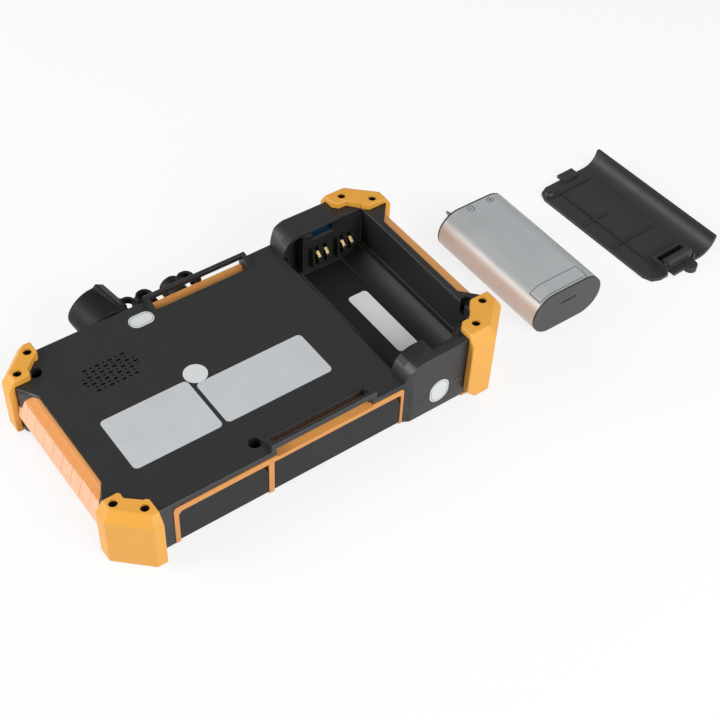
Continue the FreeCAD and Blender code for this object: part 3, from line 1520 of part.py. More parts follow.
# Battery bay fittings
def bay_fittings():
    """The catch insert, the two contact blocks and the sprung contacts in them."""
    inner = (s.catch_middle - s.catch_half, s.catch_middle + s.catch_half)
    outer = (inner[0] - s.catch_wall, inner[1] + s.catch_wall)
    liner = block("cover_catch_block", outer, (s.bay_lip_far, s.bay_far + s.catch_deep + s.catch_wall),
                  (s.catch_low - s.catch_wall, s.catch_high))
    slot = block("cover_catch_slot", inner, (s.bay_far - 1.0, s.bay_far + s.catch_deep),
                 (s.catch_low, s.catch_high - s.catch_wall))
    node("cover_catch", cut("cover_catch", liner, slot))
    face = s.bay_far - s.contact_block_deep
    half = s.contact_spring_wide / 2
    blocks = []
    for label, middle in contact_middles().items():
        shell = block("contact_block_%s_shell" % label,
                      (middle - s.contact_block_half, middle + s.contact_block_half),
                      (face, s.bay_far + ZERO), (s.contact_block_low, s.contact_block_high))
        slots = []
        springs = []
        for index, way in enumerate((-1, 1)):
            x = middle + way * s.contact_spring_spread
            slots.append(block("contact_slot_%s_%d" % (label, index), (x - half - 0.2, x + half + 0.2),
                               (face - 1.0, s.bay_far - 0.4),
                               (s.contact_block_low + 1.0, s.contact_block_high + 1.0)))
            springs.append(contact("contact_%s_%d" % (label, index), x, half, face))
        blocks.append(cut("contact_block_" + label, shell, *slots))
        node("contacts_" + label, group("contacts_" + label, *springs))
    node("contact_blocks", group("contact_blocks", *blocks))


def contact_middles():
    """The middle of each contact block along the bay."""
    return {
        "left": s.contact_middle - s.contact_block_spread,
        "right": s.contact_middle + s.contact_block_spread,
    }


def contact(name, x, half, face):
    """One bent spring contact: two feet in the block, and a nose that stands proud of it."""
    middle = (s.contact_block_low + s.contact_block_high) / 2 + s.contact_spring_raise
    nose = face - s.contact_spring_proud
    foot = face + 0.2
    thick = s.contact_spring_thick
    reach = s.contact_spring_reach
    points = [
        (foot, middle - reach),
        (nose, middle - 0.6),
        (nose, middle + 0.6),
        (foot, middle + reach),
        (foot + thick, middle + reach),
        (nose + thick, middle + 0.5),
        (nose + thick, middle - 0.5),
        (foot + thick, middle - reach),
    ]
    return prism(name, points, x - half, x + half, "YZ")


# Battery pack, lying on the table
def stadium(name, centre_x, level, half_spread, radius, low, high):
    """A flat-sided round bar along Y: two rods and the block between them."""
    return fuse(
        name,
        rod(name + "_left", (centre_x - half_spread, level), radius, low, high, "Y"),
        rod(name + "_right", (centre_x + half_spread, level), radius, low, high, "Y"),
        block(name + "_middle", (centre_x - half_spread, centre_x + half_spread), (low, high),
              (level - radius, level + radius)),
    )


def battery_pack():
    """The pack: a sleeve round two cells, a cap at each end, contact pads and a pull tab."""
    radius = s.pack_radius
    spread = s.pack_spread
    near = -s.pack_y - s.pack_long / 2
    far = s.pack_long / 2 - s.pack_y
    near_in = near + s.pack_cap_thick
    far_in = far - s.pack_cap_thick
    level = radius
    sleeve = stadium("battery_sleeve_outer", s.pack_x, level, spread, radius, near_in, far_in)
    inside = stadium("battery_sleeve_inner", s.pack_x, level, spread, radius - s.pack_sleeve,
                     near_in - 1.0, far_in + 1.0)
    node("battery_sleeve", cut("battery_sleeve", sleeve, inside))
    ends = []
    for label, low, high, lip in (("near", near, near_in, 1), ("far", far_in, far, -1)):
        name = "battery_end_" + label
        disc = stadium(name + "_disc", s.pack_x, level, spread, radius - s.pack_cap_play / 2, low, high)
        plug_span = (low, high + s.pack_cap_plug) if lip > 0 else (low - s.pack_cap_plug, high)
        room_span = ((low + s.pack_cap_web, high + PAST) if lip > 0
                     else (low - PAST, high - s.pack_cap_web))
        plug = stadium(name + "_plug", s.pack_x, level, spread, radius - s.pack_sleeve - s.pack_cap_play,
                       *plug_span)
        room = stadium(name + "_room", s.pack_x, level, s.cell_spread, s.cell + s.cell_play, *room_span)
        cap = cut(name + "_body", fuse(name + "_solid", disc, plug), room)
        if label == "near":
            half_tall = s.pack_mark_tall / 2
            tools = [block(name + "_mark", (s.pack_x - s.pack_mark_half, s.pack_x + s.pack_mark_half),
                           (low - 1.0, low + s.pack_mark_deep),
                           (level + s.pack_mark_up - half_tall, level + s.pack_mark_up + half_tall))]
        else:
            tools = pad_blocks(name + "_seat", high, level, 0.1)
        ends.append(cut(name, cap, *tools))
    node("battery_end_caps", group("battery_end_caps", *ends))
    node("battery_pads", group("battery_pads", *pad_blocks("battery_pad", far, level, 0.0)))
    cells = []
    cell_near = -s.pack_y - s.cell_long / 2
    for index, way in enumerate((-1, 1)):
        cells.append(rod("battery_cell_%d" % index, (s.pack_x + way * s.cell_spread, level), s.cell,
                         cell_near, cell_near + s.cell_long, "Y"))
    node("battery_cells", group("battery_cells", *cells))
    left = s.pack_x - s.pack_tab_x
    half = s.pack_tab_wide / 2
    tip = s.pack_tab_tip / 2
    end = far + s.pack_tab_long
    tab = prism("battery_tab", [(left - half, far), (left + half, far), (left + tip, end), (left - tip, end)],
                s.pack_tab_level, s.pack_tab_level + s.pack_tab_thick)
    node("battery_tab", tab)


def pad_blocks(name, far, level, play):
    """The pack's contact pads, or with play their seats, where the contacts meet them in the bay."""
    shapes = []
    out = 1.0 if play else 0.0
    for label, middle in contact_middles().items():
        for index, way in enumerate((-1, 1)):
            x = s.pack_x + middle - s.bay_middle + way * s.contact_spring_spread
            half = s.pack_pad_wide / 2 + play
            shapes.append(block("%s_%s_%d" % (name, label, index), (x - half, x + half),
                                (far - s.pack_pad_thick, far + out),
                                (level - s.pack_pad_half_tall - play, level + s.pack_pad_half_tall + play)))
    return shapes


# Battery cover, modelled about its flat edge, inside up
def cover_pose():
    """Where the cover lies on the table."""
    turn = Rotation(Vector(0, 0, 1), value_of(s.cover_turn))
    return Placement(Vector(value_of(s.cover_x), -value_of(s.cover_y), 0), turn)


def cover_half():
    """Half the length of the cover."""
    return (s.bay_near + s.bay_lip_far) / 2 - s.cover_play


def cover_wide():
    """The width of the cover from its flat edge to its round flank."""
    return s.bay_right - s.hump_start - s.cover_play


def battery_cover():
    """The cover: a plate with a round flank, ribs, a boss and a catch tab, and its sprung latch."""
    half = cover_half()
    wide = cover_wide()
    flat_end = wide - s.hump_flank
    thick = s.cover_thick
    corner = s.cover_corner
    plate = prism("cover_plate", both_sides([
        (ZERO, half - corner),
        (corner * 0.3, half - corner * 0.3),
        (corner + ZERO, half + ZERO),
        (flat_end + ZERO, half + ZERO),
    ]), ZERO, thick)
    axis = (flat_end, s.hump_flank)
    outside = rod("cover_flank_outer", axis, s.hump_flank, -half, half, "Y")
    inside = rod("cover_flank_inner", axis, s.hump_flank - thick, -half - 1.0, half + 1.0, "Y")
    tube = cut("cover_flank_tube", outside, inside)
    quarter = block("cover_flank_quarter", (flat_end, wide + 1.0), (-half, half), (ZERO - 1.0, s.hump_flank))
    flank = common("cover_flank", tube, quarter)
    tab_half = s.catch_half - 0.5
    tab_x = cover_local(s.catch_middle)
    tab_level = s.hump_level - s.catch_high + s.catch_wall + 0.3
    tab = block("cover_tab", (tab_x - tab_half, tab_x + tab_half), (half - 3.0, half + s.cover_tab_out),
                (tab_level, tab_level + s.cover_tab_thick))
    riser = block("cover_tab_riser", (tab_x - tab_half, tab_x + tab_half), (half - 3.0, half - 1.4),
                  (thick - s.cover_rib_sink, tab_level + s.cover_tab_thick))
    ribs = []
    rib_top = thick + s.cover_rib_tall
    rib_base = thick - s.cover_rib_sink
    long_x = s.cover_long_rib_in
    ribs.append(block("cover_rib_long", (long_x, long_x + s.cover_rib),
                      (s.cover_long_rib_near - half, half - s.cover_long_rib_far), (rib_base, rib_top)))
    for name, y, x_end in (("middle", half - s.cover_middle_rib, s.cover_middle_rib_end),
                           ("near", s.cover_near_rib - half, s.cover_rib_end),
                           ("far", half - s.cover_far_rib, s.cover_rib_end)):
        ribs.append(block("cover_rib_" + name, (s.cover_rib_start, x_end + ZERO), (y, y + s.cover_rib),
                          (rib_base, rib_top)))
    boss_place = (corner - s.cover_boss_in, half - corner + s.cover_boss_along)
    boss = rod("cover_boss", boss_place, s.cover_boss, rib_base, thick + s.cover_boss_tall)
    latch_x = cover_local(s.notch_middle)
    slot_half = s.latch_half + s.latch_play
    slot = block("cover_latch_slot", (latch_x - slot_half, latch_x + slot_half),
                 (-half - 1.0, -half + s.latch_slot), (ZERO - 1.0, thick + 1.0))
    guides = []
    for index, way in enumerate((-1, 1)):
        x = latch_x + way * (slot_half + s.latch_wall * 0.5 + 0.1)
        guides.append(block("cover_latch_guide_%d" % index, (x - s.latch_wall / 2, x + s.latch_wall / 2),
                            (-half + ZERO, s.latch_guide_long - half),
                            (rib_base, thick + s.latch_guide_tall)))
    stop_half = slot_half + s.latch_wall + 0.1
    back = block("cover_latch_stop", (latch_x - stop_half, latch_x + stop_half),
                 (s.latch_guide_long - half - 0.6, s.latch_guide_long - half + 0.7),
                 (rib_base, thick + s.latch_guide_tall))
    hole = rod("cover_boss_hole", boss_place, s.cover_boss_hole, thick, thick + PAST)
    solid = fuse("cover_body", plate, flank, tab, riser, *ribs, boss, *guides, back)
    node("battery_cover", cut("battery_cover", solid, slot, hole), cover_pose())
    cover_latch(latch_x, half, thick)


def cover_local(installed_x):
    """A place across the cover for a place across the bay, because the cover lies turned over."""
    return s.bay_right - installed_x


def cover_latch(x, half, thick):
    """The latch at the cover's near end: a sprung bow, a hook that locks and a finger tab."""
    wide = s.latch_half
    low = thick + 0.15
    top = s.latch_spring_tall
    bow = s.latch_spring_thick
    near = -half + 0.6
    deep = near + s.latch_spring_deep
    outer = [
        (near, low), (near, top - 1.2), (near + 1.2, top), (deep - 1.2, top), (deep, top - 1.2), (deep, low),
        (deep - bow, low), (deep - bow, top - bow - 0.5), (deep - bow - 0.5, top - bow),
        (near + bow + 0.5, top - bow), (near + bow, top - bow - 0.5), (near + bow, low),
    ]
    spring = prism("cover_latch_bow", outer, x - wide, x + wide, "YZ")
    foot = block("cover_latch_foot", (x - wide, x + wide), (deep - bow, deep + 1.4), (low, low + 1.2))
    hook = block("cover_latch_hook", (x - wide + 0.4, x + 1.5), (near - s.latch_hook, near + bow),
                 (low, low + 1.5))
    neck = block("cover_latch_neck", (x + 2.6, x + wide), (near - 2.6, near + bow), (ZERO + 0.2, low + 1.3))
    finger = rod("cover_latch_finger", (x + wide - s.latch_tab - 0.2, near - 3.0), s.latch_tab, ZERO + 0.2,
                 low + 1.3)
    node("cover_latch", fuse("cover_latch", spring, foot, hook, neck, finger), cover_pose())


# Labels and seals, left bare
def rounded_plate(name, x, y, z, corner):
    """A thin plate with rounded corners."""
    low_x, high_x = x
    low_y, high_y = y
    middle = block(name + "_long", (low_x, high_x), (low_y + corner, high_y - corner), z)
    cross = block(name + "_cross", (low_x + corner, high_x - corner), (low_y, high_y), z)
    dots = [rod("%s_dot_%d_%d" % (name, i, j), (cx, cy), corner, *z)
            for i, cx in enumerate((low_x + corner, high_x - corner))
            for j, cy in enumerate((low_y + corner, high_y - corner))]
    return fuse(name, middle, cross, *dots)


def labels():
    """The bare labels and seals on the back, in the bay and on the battery end."""
    thick = s.label_thick
    back = (s.back_level + ZERO, s.back_level + thick)
    wide = rounded_plate("label_wide", (-s.second_label_left, -s.second_label_right),
                         (-s.second_label_near, -s.second_label_far), back, s.label_corner)
    tall = rounded_plate("label_tall", (-s.first_label_left, -s.first_label_right),
                         (-s.first_label_near, s.first_label_far), back, s.label_corner)
    floor = s.bay_axis_level - s.bay_cradle
    strip = rounded_plate("label_strip", (s.bay_label_left, s.bay_label_right),
                          (-s.bay_label_near, s.bay_label_far), (floor, floor + thick), s.bay_label_corner)
    node("bare_labels", group("bare_labels", tall, wide, strip))
    above = (back[1], back[1] + thick)
    round_seal = rod("seal_round", (-s.round_seal_x, s.round_seal_y), s.round_seal, *above)
    screw_seal = rounded_plate("seal_screw", (-s.screw_seal_left, -s.screw_seal_right),
                               (s.screw_seal_near + ZERO, s.screw_seal_far + ZERO), back, s.screw_seal_corner)
    node("seals", group("seals", round_seal, screw_seal, wall_seal(thick)))


def wall_seal(thick):
    """The upright oval seal on the near wall of the battery end."""
    half = s.hump_seal_straight / 2
    low = s.seam_level - half
    high = s.seam_level + half
    skin = (-s.hump_half_width - thick, -s.hump_half_width)
    ends = [rod("seal_wall_end_%d" % index, (s.hump_seal_x + ZERO, level), s.hump_seal, *skin, "Y")
            for index, level in enumerate((low, high))]
    middle = block("seal_wall_middle", (s.hump_seal_x - s.hump_seal, s.hump_seal_x + s.hump_seal), skin,
                   (low, high))
    return fuse("seal_wall", middle, *ends)


front_shell()
back_shell()
guards()
guard_screws()
case_screws()
grips()
side_trim()
optical_ports()
caps()
tether_anchors()
screen()
sockets()
optics()
speaker()
keys()
bay_fittings()
battery_pack()
battery_cover()
labels()
doc.recompute()

# Centre the set on its footprint, then test and write every sub-part
whole = FreeCAD.BoundBox()
for piece, pose in pieces.values():
    piece.Placement = pose
doc.recompute()
for piece, pose in pieces.values():
    whole.add(piece.Shape.optimalBoundingBox(False))
shift = Placement(Vector(-whole.Center.x, -whole.Center.y, 0), Rotation())
for piece, pose in pieces.values():
    piece.Placement = shift.multiply(pose)
doc.recompute()

for item in doc.Objects:
    if "Invalid" in item.State or "Error" in item.State:
        raise RuntimeError("%s did not build: %s" % (item.Label, item.State))
os.makedirs("parts", exist_ok=True)
for name, (piece, _pose) in pieces.items():
    if piece.Shape.isNull() or not piece.Shape.isValid() or not piece.Shape.Solids:
        raise RuntimeError("%s has no sound shape" % name)
    piece.Shape.exportStep("parts/%s.step" % name)
print("middle of the set", round(whole.Center.x, 4), round(whole.Center.y, 4), "lowest", round(whole.ZMin, 4))
print("sub-parts", len(pieces))
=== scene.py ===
"""The looks of a handheld optical fibre tester, lying face down with its battery and cover beside it."""

import logging
import math
from dataclasses import dataclass
from enum import Enum
from typing import Any, Callable, Mapping, Optional, Sequence, Union

import bmesh
import bpy
from mathutils import Matrix, Quaternion, Vector


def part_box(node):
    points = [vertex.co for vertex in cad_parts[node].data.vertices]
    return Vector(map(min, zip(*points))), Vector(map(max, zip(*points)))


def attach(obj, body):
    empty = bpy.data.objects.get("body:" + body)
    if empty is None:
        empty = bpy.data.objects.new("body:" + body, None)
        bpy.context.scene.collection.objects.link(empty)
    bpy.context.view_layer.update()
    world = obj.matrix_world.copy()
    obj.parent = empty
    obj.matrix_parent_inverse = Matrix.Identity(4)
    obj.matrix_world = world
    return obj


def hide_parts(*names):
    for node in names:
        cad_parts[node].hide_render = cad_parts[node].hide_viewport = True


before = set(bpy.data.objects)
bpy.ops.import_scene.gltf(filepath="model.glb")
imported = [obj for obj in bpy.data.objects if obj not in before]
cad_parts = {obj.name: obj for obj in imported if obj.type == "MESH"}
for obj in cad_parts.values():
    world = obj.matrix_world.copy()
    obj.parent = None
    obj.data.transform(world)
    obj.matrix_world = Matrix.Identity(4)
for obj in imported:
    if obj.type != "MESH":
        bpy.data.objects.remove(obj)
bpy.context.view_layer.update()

MM = 0.001
log = logging.getLogger("reflectometer")

Colour = tuple[float, float, float]
Point = tuple[float, float, float]
Pair = tuple[float, float]
EdgeTest = Callable[[bmesh.types.BMEdge], bool]


def case_middle() -> Vector:
    """The point on the table under the middle of the case, found from the corner guards."""
    low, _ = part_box("guard_left_near")
    _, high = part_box("guard_right_far")
    return Vector(((low.x + high.x) / 2, (low.y + high.y) / 2, 0.0))


MIDDLE = case_middle()
TO_ROW = Matrix.Translation(MIDDLE) @ Matrix.Diagonal((MM, MM, MM, 1.0))
TO_CASE = TO_ROW.inverted()


def shade(red: int, green: int, blue: int) -> Colour:
    """A colour as a screen shows it, from 0 to 255 each, turned into the linear values a shader takes."""
    parts = []
    for value in (red / 255, green / 255, blue / 255):
        parts.append(value / 12.92 if value <= 0.04045 else ((value + 0.055) / 1.055) ** 2.4)
    return parts[0], parts[1], parts[2]


def tinted(colour: Colour, gain: float) -> Colour:
    """The same colour made brighter or darker by a gain."""
    return colour[0] * gain, colour[1] * gain, colour[2] * gain


def hung(name: str, data: Any) -> bpy.types.Object:
    """A new object in the scene that holds this mesh, lamp or camera."""
    thing = bpy.data.objects.new(name, data)
    bpy.context.scene.collection.objects.link(thing)
    return thing


# Node materials


class Wire:
    """A node's output that takes part in arithmetic, adding a Math node for each step."""

    def __init__(self, recipe: "Recipe", socket: bpy.types.NodeSocket) -> None:
        """Remember which recipe the socket belongs to."""
        self.recipe = recipe
        self.socket = socket

    def _step(self, operation: str, *values: Any) -> "Wire":
        """One Math node on these values."""
        return self.recipe.add("ShaderNodeMath", {"operation": operation}, dict(enumerate(values)))

    def __add__(self, other: Any) -> "Wire":
        """The sum."""
        return self._step("ADD", self, other)

    __radd__ = __add__

    def __sub__(self, other: Any) -> "Wire":
        """The difference."""
        return self._step("SUBTRACT", self, other)

    def __rsub__(self, other: Any) -> "Wire":
        """The difference, the other way round."""
        return self._step("SUBTRACT", other, self)

    def __mul__(self, other: Any) -> "Wire":
        """The product."""
        return self._step("MULTIPLY", self, other)

    __rmul__ = __mul__

    def __gt__(self, other: Any) -> "Wire":
        """1 where this is greater, else 0."""
        return self._step("GREATER_THAN", self, other)

    def __lt__(self, other: Any) -> "Wire":
        """1 where this is less, else 0."""
        return self._step("LESS_THAN", self, other)

    def __abs__(self) -> "Wire":
        """The size without its sign."""
        return self._step("ABSOLUTE", self)

    def most(self, other: Any) -> "Wire":
        """The greater of two values."""
        return self._step("MAXIMUM", self, other)

    def span(self, other: "Wire") -> "Wire":
        """The long side of a right triangle with these two short sides."""
        return self._step("SQRT", self * self + other * other)

    def repeated(self, length: float) -> "Wire":
        """The distance into the present stretch of this length."""
        return self._step("FLOORED_MODULO", self, length)


class Recipe:
    """A node material while it is put together."""

    CLOUD_SPREAD: Pair = (0.3, 0.7)
    SPECK_SPREAD: Pair = (0.25, 0.75)

    def __init__(self, name: str) -> None:
        """Start a material that holds a shader and its output."""
        self.material = bpy.data.materials.new(name)
        self.material.use_nodes = True
        self.tree = self.material.node_tree
        self.shader = next(n for n in self.tree.nodes if n.type == "BSDF_PRINCIPLED")

    def add(self, kind: str, settings: Optional[Mapping[str, Any]] = None,
            inputs: Optional[Mapping[Union[int, str], Any]] = None, output: Union[int, str] = 0) -> Wire:
        """Add a node.

        Args:
            kind: The node's type.
            settings: Its own settings; "stops" gives a colour ramp's places and colours.
            inputs: A value or a Wire for each named or numbered socket.
            output: The socket to carry on from.

        Returns:
            The chosen output.
        """
        node = self.tree.nodes.new(kind)
        for name, value in (settings or {}).items():
            if name == "stops":
                self._stops(node, value)
            else:
                setattr(node, name, value)
        for name, value in (inputs or {}).items():
            self._feed(node.inputs[name], value)
        return Wire(self, node.outputs[output])

    def _stops(self, node: bpy.types.Node, stops: Sequence[tuple[float, Colour]]) -> None:
        """Set a colour ramp's stops."""
        elements = node.color_ramp.elements
        while len(elements) < len(stops):
            elements.new(0.5)
        for element, (place, colour) in zip(elements, stops):
            element.position = place
            element.color = (*colour, 1.0)

    def _feed(self, socket: bpy.types.NodeSocket, value: Any) -> None:
        """Link a Wire to a socket, or set a plain value on it."""
        if isinstance(value, Wire):
            self.tree.links.new(value.socket, socket)
        elif socket.type == "RGBA":
            socket.default_value = (*value, 1.0)
        else:
            socket.default_value = value

    def surface(self, **values: Any) -> None:
        """Set the shader's sockets, named in lower case with underscores."""
        names = {name.lower().replace(" ", "_"): name for name in self.shader.inputs.keys()}
        for name, value in values.items():
            self._feed(self.shader.inputs[names[name]], value)

    def place(self) -> Wire:
        """Where a point lies, in the object's own coordinates."""
        return self.add("ShaderNodeTexCoord", output="Object")

    def along(self, axis: str) -> Wire:
        """One coordinate of a point, in metres."""
        return self.add("ShaderNodeSeparateXYZ", inputs={0: self.place()}, output=axis)

    def from_middle(self) -> tuple[Wire, Wire, Wire]:
        """The three coordinates of a point, in millimetres from the middle of the case."""
        x, y, z = ((self.along(axis) - middle) * (1.0 / MM) for axis, middle in zip("XYZ", MIDDLE))
        return x, y, z

    def facing(self, axis: str) -> Wire:
        """How far the surface faces along an axis of the part, from -1 to 1."""
        normal = self.add("ShaderNodeTexCoord", output="Normal")
        return self.add("ShaderNodeSeparateXYZ", inputs={0: normal}, output=axis)

    def ring(self, across: Wire, up: Wire, half: float, radius: float, line: float) -> Wire:
        """1 on a printed ring, or on an oblong one where half is more than 0.

        Args:
            across: The distance from the ring's middle along its length, in millimetres.
            up: The distance from its middle the other way.
            half: Half the length of its straight sides.
            radius: The radius of its ends.
            line: The width of the printed line.

        Returns:
            The mask.
        """
        away = (abs(across) - half).most(0.0).span(up)
        return abs(away - radius) < line / 2

    def box(self, across: Wire, up: Wire, half_long: float, half_tall: float) -> Wire:
        """1 inside a rectangle about the middle."""
        return (abs(across) < half_long) * (abs(up) < half_tall)

    def noise(self, size: float, detail: float = 2.0, stretch: Point = (1.0, 1.0, 1.0)) -> Wire:
        """Soft noise from 0 to 1 whose blotches are about size millimetres across."""
        where = self.add("ShaderNodeMapping", inputs={"Vector": self.place(), "Scale": stretch})
        return self.add("ShaderNodeTexNoise", {"noise_dimensions": "3D"},
                        {"Vector": where, "Scale": 1.0 / (size * MM), "Detail": detail})

    def cloud(self, size: float, detail: float = 3.0, stretch: Point = (1.0, 1.0, 1.0)) -> Wire:
        """Soft noise spread over the whole range from 0 to 1."""
        return self.stretched(self.noise(size, detail, stretch), *self.CLOUD_SPREAD)

    def speck(self, size: float) -> Wire:
        """Plain noise spread over the whole range, for a grain."""
        return self.stretched(self.noise(size, 1.0), *self.SPECK_SPREAD)

    def ridges(self, along: Wire, pitch: float) -> Wire:
        """A row of ridges from 0 to 1 along a measure in metres, one every so many millimetres."""
        return abs(along.repeated(pitch * MM) * (1.0 / MM) - pitch / 2) * (2.0 / pitch)

    def ramp(self, value: Wire, places: Sequence[float], colours: Sequence[Colour]) -> Wire:
        """The colour at a value, between the colours at these places."""
        return self.add("ShaderNodeValToRGB", {"stops": list(zip(places, colours))}, {0: value})

    def mixed(self, factor: Any, first: Any, second: Any) -> Wire:
        """A colour between two, by a factor."""
        return self.add("ShaderNodeMix", {"data_type": "RGBA"}, {0: factor, 6: first, 7: second}, 2)

    def stretched(self, value: Wire, low: float, high: float) -> Wire:
        """A noise value spread so that low and high become 0 and 1."""
        return self.add("ShaderNodeMapRange", {"clamp": True}, {0: value, 1: low, 2: high})

    def bump(self, height: Any, depth: float, under: Optional[Wire] = None) -> Wire:
        """A normal for a height of so many millimetres at full value."""
        inputs: dict[Union[int, str], Any] = {"Height": height, "Distance": depth * MM, "Strength": 1.0}
        if under is not None:
            inputs["Normal"] = under
        return self.add("ShaderNodeBump", inputs=inputs)

    def rounded(self, radius: float) -> Wire:
        """A normal that rounds the last sharp edges by so many millimetres."""
        return self.add("ShaderNodeBevel", {"samples": 4}, {"Radius": radius * MM})


@dataclass(frozen=True)
class Finish:
    """What a surface is made of. Each kind of finish paints its own material."""

    slot: str

    def paint(self, recipe: Recipe) -> None:
        """Set up the shader of a new material."""
        raise NotImplementedError

    def material(self) -> bpy.types.Material:
        """The finish's material, made once."""
        name = "finish_" + self.slot
        if name not in bpy.data.materials:
            recipe = Recipe(name)
            self.paint(recipe)
        return bpy.data.materials[name]


@dataclass(frozen=True)
class MouldedPlastic(Finish):
    """Injection-moulded plastic or rubber with a spark-eroded grain.

    Attributes:
        colour: The plastic's colour.
        roughness: How matt it is.
        uneven: What is added to the roughness: everywhere, in the blotches and on the grain.
        grain: The size of the grain, in millimetres.
        depth: The depth of the grain, in millimetres.
        mottle: How much the colour varies.
        blotch: The size of its blotches, in millimetres.
        pore: How much the grain darkens the colour.
        sheen: A soft bloom at shallow angles, as rubber has.
        bloom: How far the bloom spreads.
        edge: The radius left on sharp edges, in millimetres.
        specular: The strength of the gloss.
    """

    colour: Colour = (0.5, 0.5, 0.5)
    roughness: float = 0.5
    uneven: Point = (-0.05, 0.06, 0.05)
    grain: float = 0.35
    depth: float = 0.012
    mottle: float = 0.06
    blotch: float = 9.0
    pore: float = 0.5
    sheen: float = 0.0
    bloom: float = 0.35
    edge: float = 0.12
    specular: float = 0.5

    def coat(self, recipe: Recipe) -> tuple[Wire, Wire, Wire]:
        """Mottle the plastic.

        Args:
            recipe: The material while it is put together.

        Returns:
            The colour, the roughness and the grain.
        """
        cloud = recipe.cloud(self.blotch)
        speck = recipe.speck(self.grain)
        darkest, dark, light = (tinted(self.colour, 1.0 + share * self.mottle) for share in (-2.0, -1.0, 1.0))
        tone = recipe.mixed(speck * self.pore, recipe.mixed(cloud, dark, light), darkest)
        everywhere, in_blotches, on_grain = self.uneven
        return tone, self.roughness + everywhere + in_blotches * cloud + on_grain * speck, speck

    def paint(self, recipe: Recipe) -> None:
        """Mottled colour, uneven gloss and a fine grain."""
        tone, gloss, speck = self.coat(recipe)
        recipe.surface(base_color=tone, roughness=gloss, specular_ior_level=self.specular,
                       normal=recipe.bump(speck, self.depth, recipe.rounded(self.edge)),
                       sheen_weight=self.sheen, sheen_roughness=self.bloom)


@dataclass(frozen=True)
class CasePlastic(MouldedPlastic):
    """The case's plastic, more matt inside the battery bay, where its colour is darkened as painted shade.

    Attributes:
        inside: The darker colour painted inside the bay, as painted shade.
        matt: How much more matt the bay is.
        bay_across: The bay's two ends along the case, in millimetres from its middle.
        bay_along: Its two ends across the case.
        bay_top: The level up to which its walls are matt and carry the painted shade.
    """

    uneven: Point = (-0.02, 0.015, 0.04)
    inside: Colour = (0.01, 0.01, 0.01)
    matt: float = 0.16
    bay_across: Pair = (40.6, 84.0)
    bay_along: Pair = (-46.0, 44.0)
    bay_top: float = 33.6

    def coat(self, recipe: Recipe) -> tuple[Wire, Wire, Wire]:
        """The plastic's coat, with the bay's matt walls darkened as painted shade."""
        tone, gloss, speck = super().coat(recipe)
        x, y, z = recipe.from_middle()
        bay = ((x > self.bay_across[0]) * (x < self.bay_across[1]) * (y > self.bay_along[0])
               * (y < self.bay_along[1]) * (z < self.bay_top))
        # Inside the bay the colour is darkened as painted shade, and the gloss made more matt.
        return recipe.mixed(bay, tone, self.inside), gloss + self.matt * bay, speck


@dataclass(frozen=True)
class GripRubber(MouldedPlastic):
    """The grips' soft rubber, in lit and shaded tones painted by which way a face turns: a tan strip on top, an
    orange shoulder and pale pads on the side, whose pale tone is a painted highlight.

    Attributes:
        shoulder: The colour of the sloped shoulder; the strip on top has the finish's own colour.
        pad_painted_highlight: The pale colour of the pads, a painted highlight of the bright light on the side.
        seam_painted_shade: The colour of the painted shade in the steps between the pads.
        turns: How far up a face looks where the pads end, the shoulder starts and ends and the strip starts.
        stain: How far the shoulder's colour spreads over the rest.
        flat: How far up a face looks that has no painted shade in its steps.
        pitch: The distance from step to step, in millimetres.
        start: Where a step lies, from the middle of the case.
        lean: How far a step runs sideways per millimetre up.
        line: The width of a step's painted shade line.
        seam_shade_strength: How strong the painted shade line is.
    """

    roughness: float = 0.46
    uneven: Point = (0.0, 0.0, 0.08)
    depth: float = 0.01
    blotch: float = 6.0
    sheen: float = 0.15
    bloom: float = 0.4
    edge: float = 0.15
    specular: float = 0.4
    shoulder: Colour = (0.8, 0.4, 0.1)
    pad_painted_highlight: Colour = (0.9, 0.7, 0.5)
    seam_painted_shade: Colour = (0.7, 0.3, 0.1)
    turns: tuple[float, float, float, float] = (0.3, 0.46, 0.86, 0.98)
    stain: float = 0.2
    flat: float = 0.9
    pitch: float = 7.4
    start: float = -0.6
    lean: float = 0.06
    line: float = 0.34
    seam_shade_strength: float = 0.8

    def coat(self, recipe: Recipe) -> tuple[Wire, Wire, Wire]:
        """A coat whose tone follows the way that the surface faces, as painted light and shade; darker lines in
        the steps are painted shade.
        """
        upward = recipe.facing("Z")
        speck = recipe.speck(self.grain)
        # Lit and shaded tones of one rubber, painted by which way a face turns; the pale pads are a painted
        # highlight.
        tones = (self.pad_painted_highlight, self.pad_painted_highlight, self.shoulder, self.shoulder, self.colour)
        tone = recipe.ramp(upward, (0.0, *self.turns), tones)
        tone = recipe.mixed(recipe.cloud(self.blotch) * self.stain, tone, self.shoulder)
        _, y, z = recipe.from_middle()
        # Painted shade in the steps between the pads.
        seam_painted_shade = ((y - self.start + self.lean * z).repeated(self.pitch) < self.line) * (upward < self.flat)
        gloss = self.roughness + self.uneven[2] * speck
        return recipe.mixed(seam_painted_shade * self.seam_shade_strength, tone, self.seam_painted_shade), gloss, speck


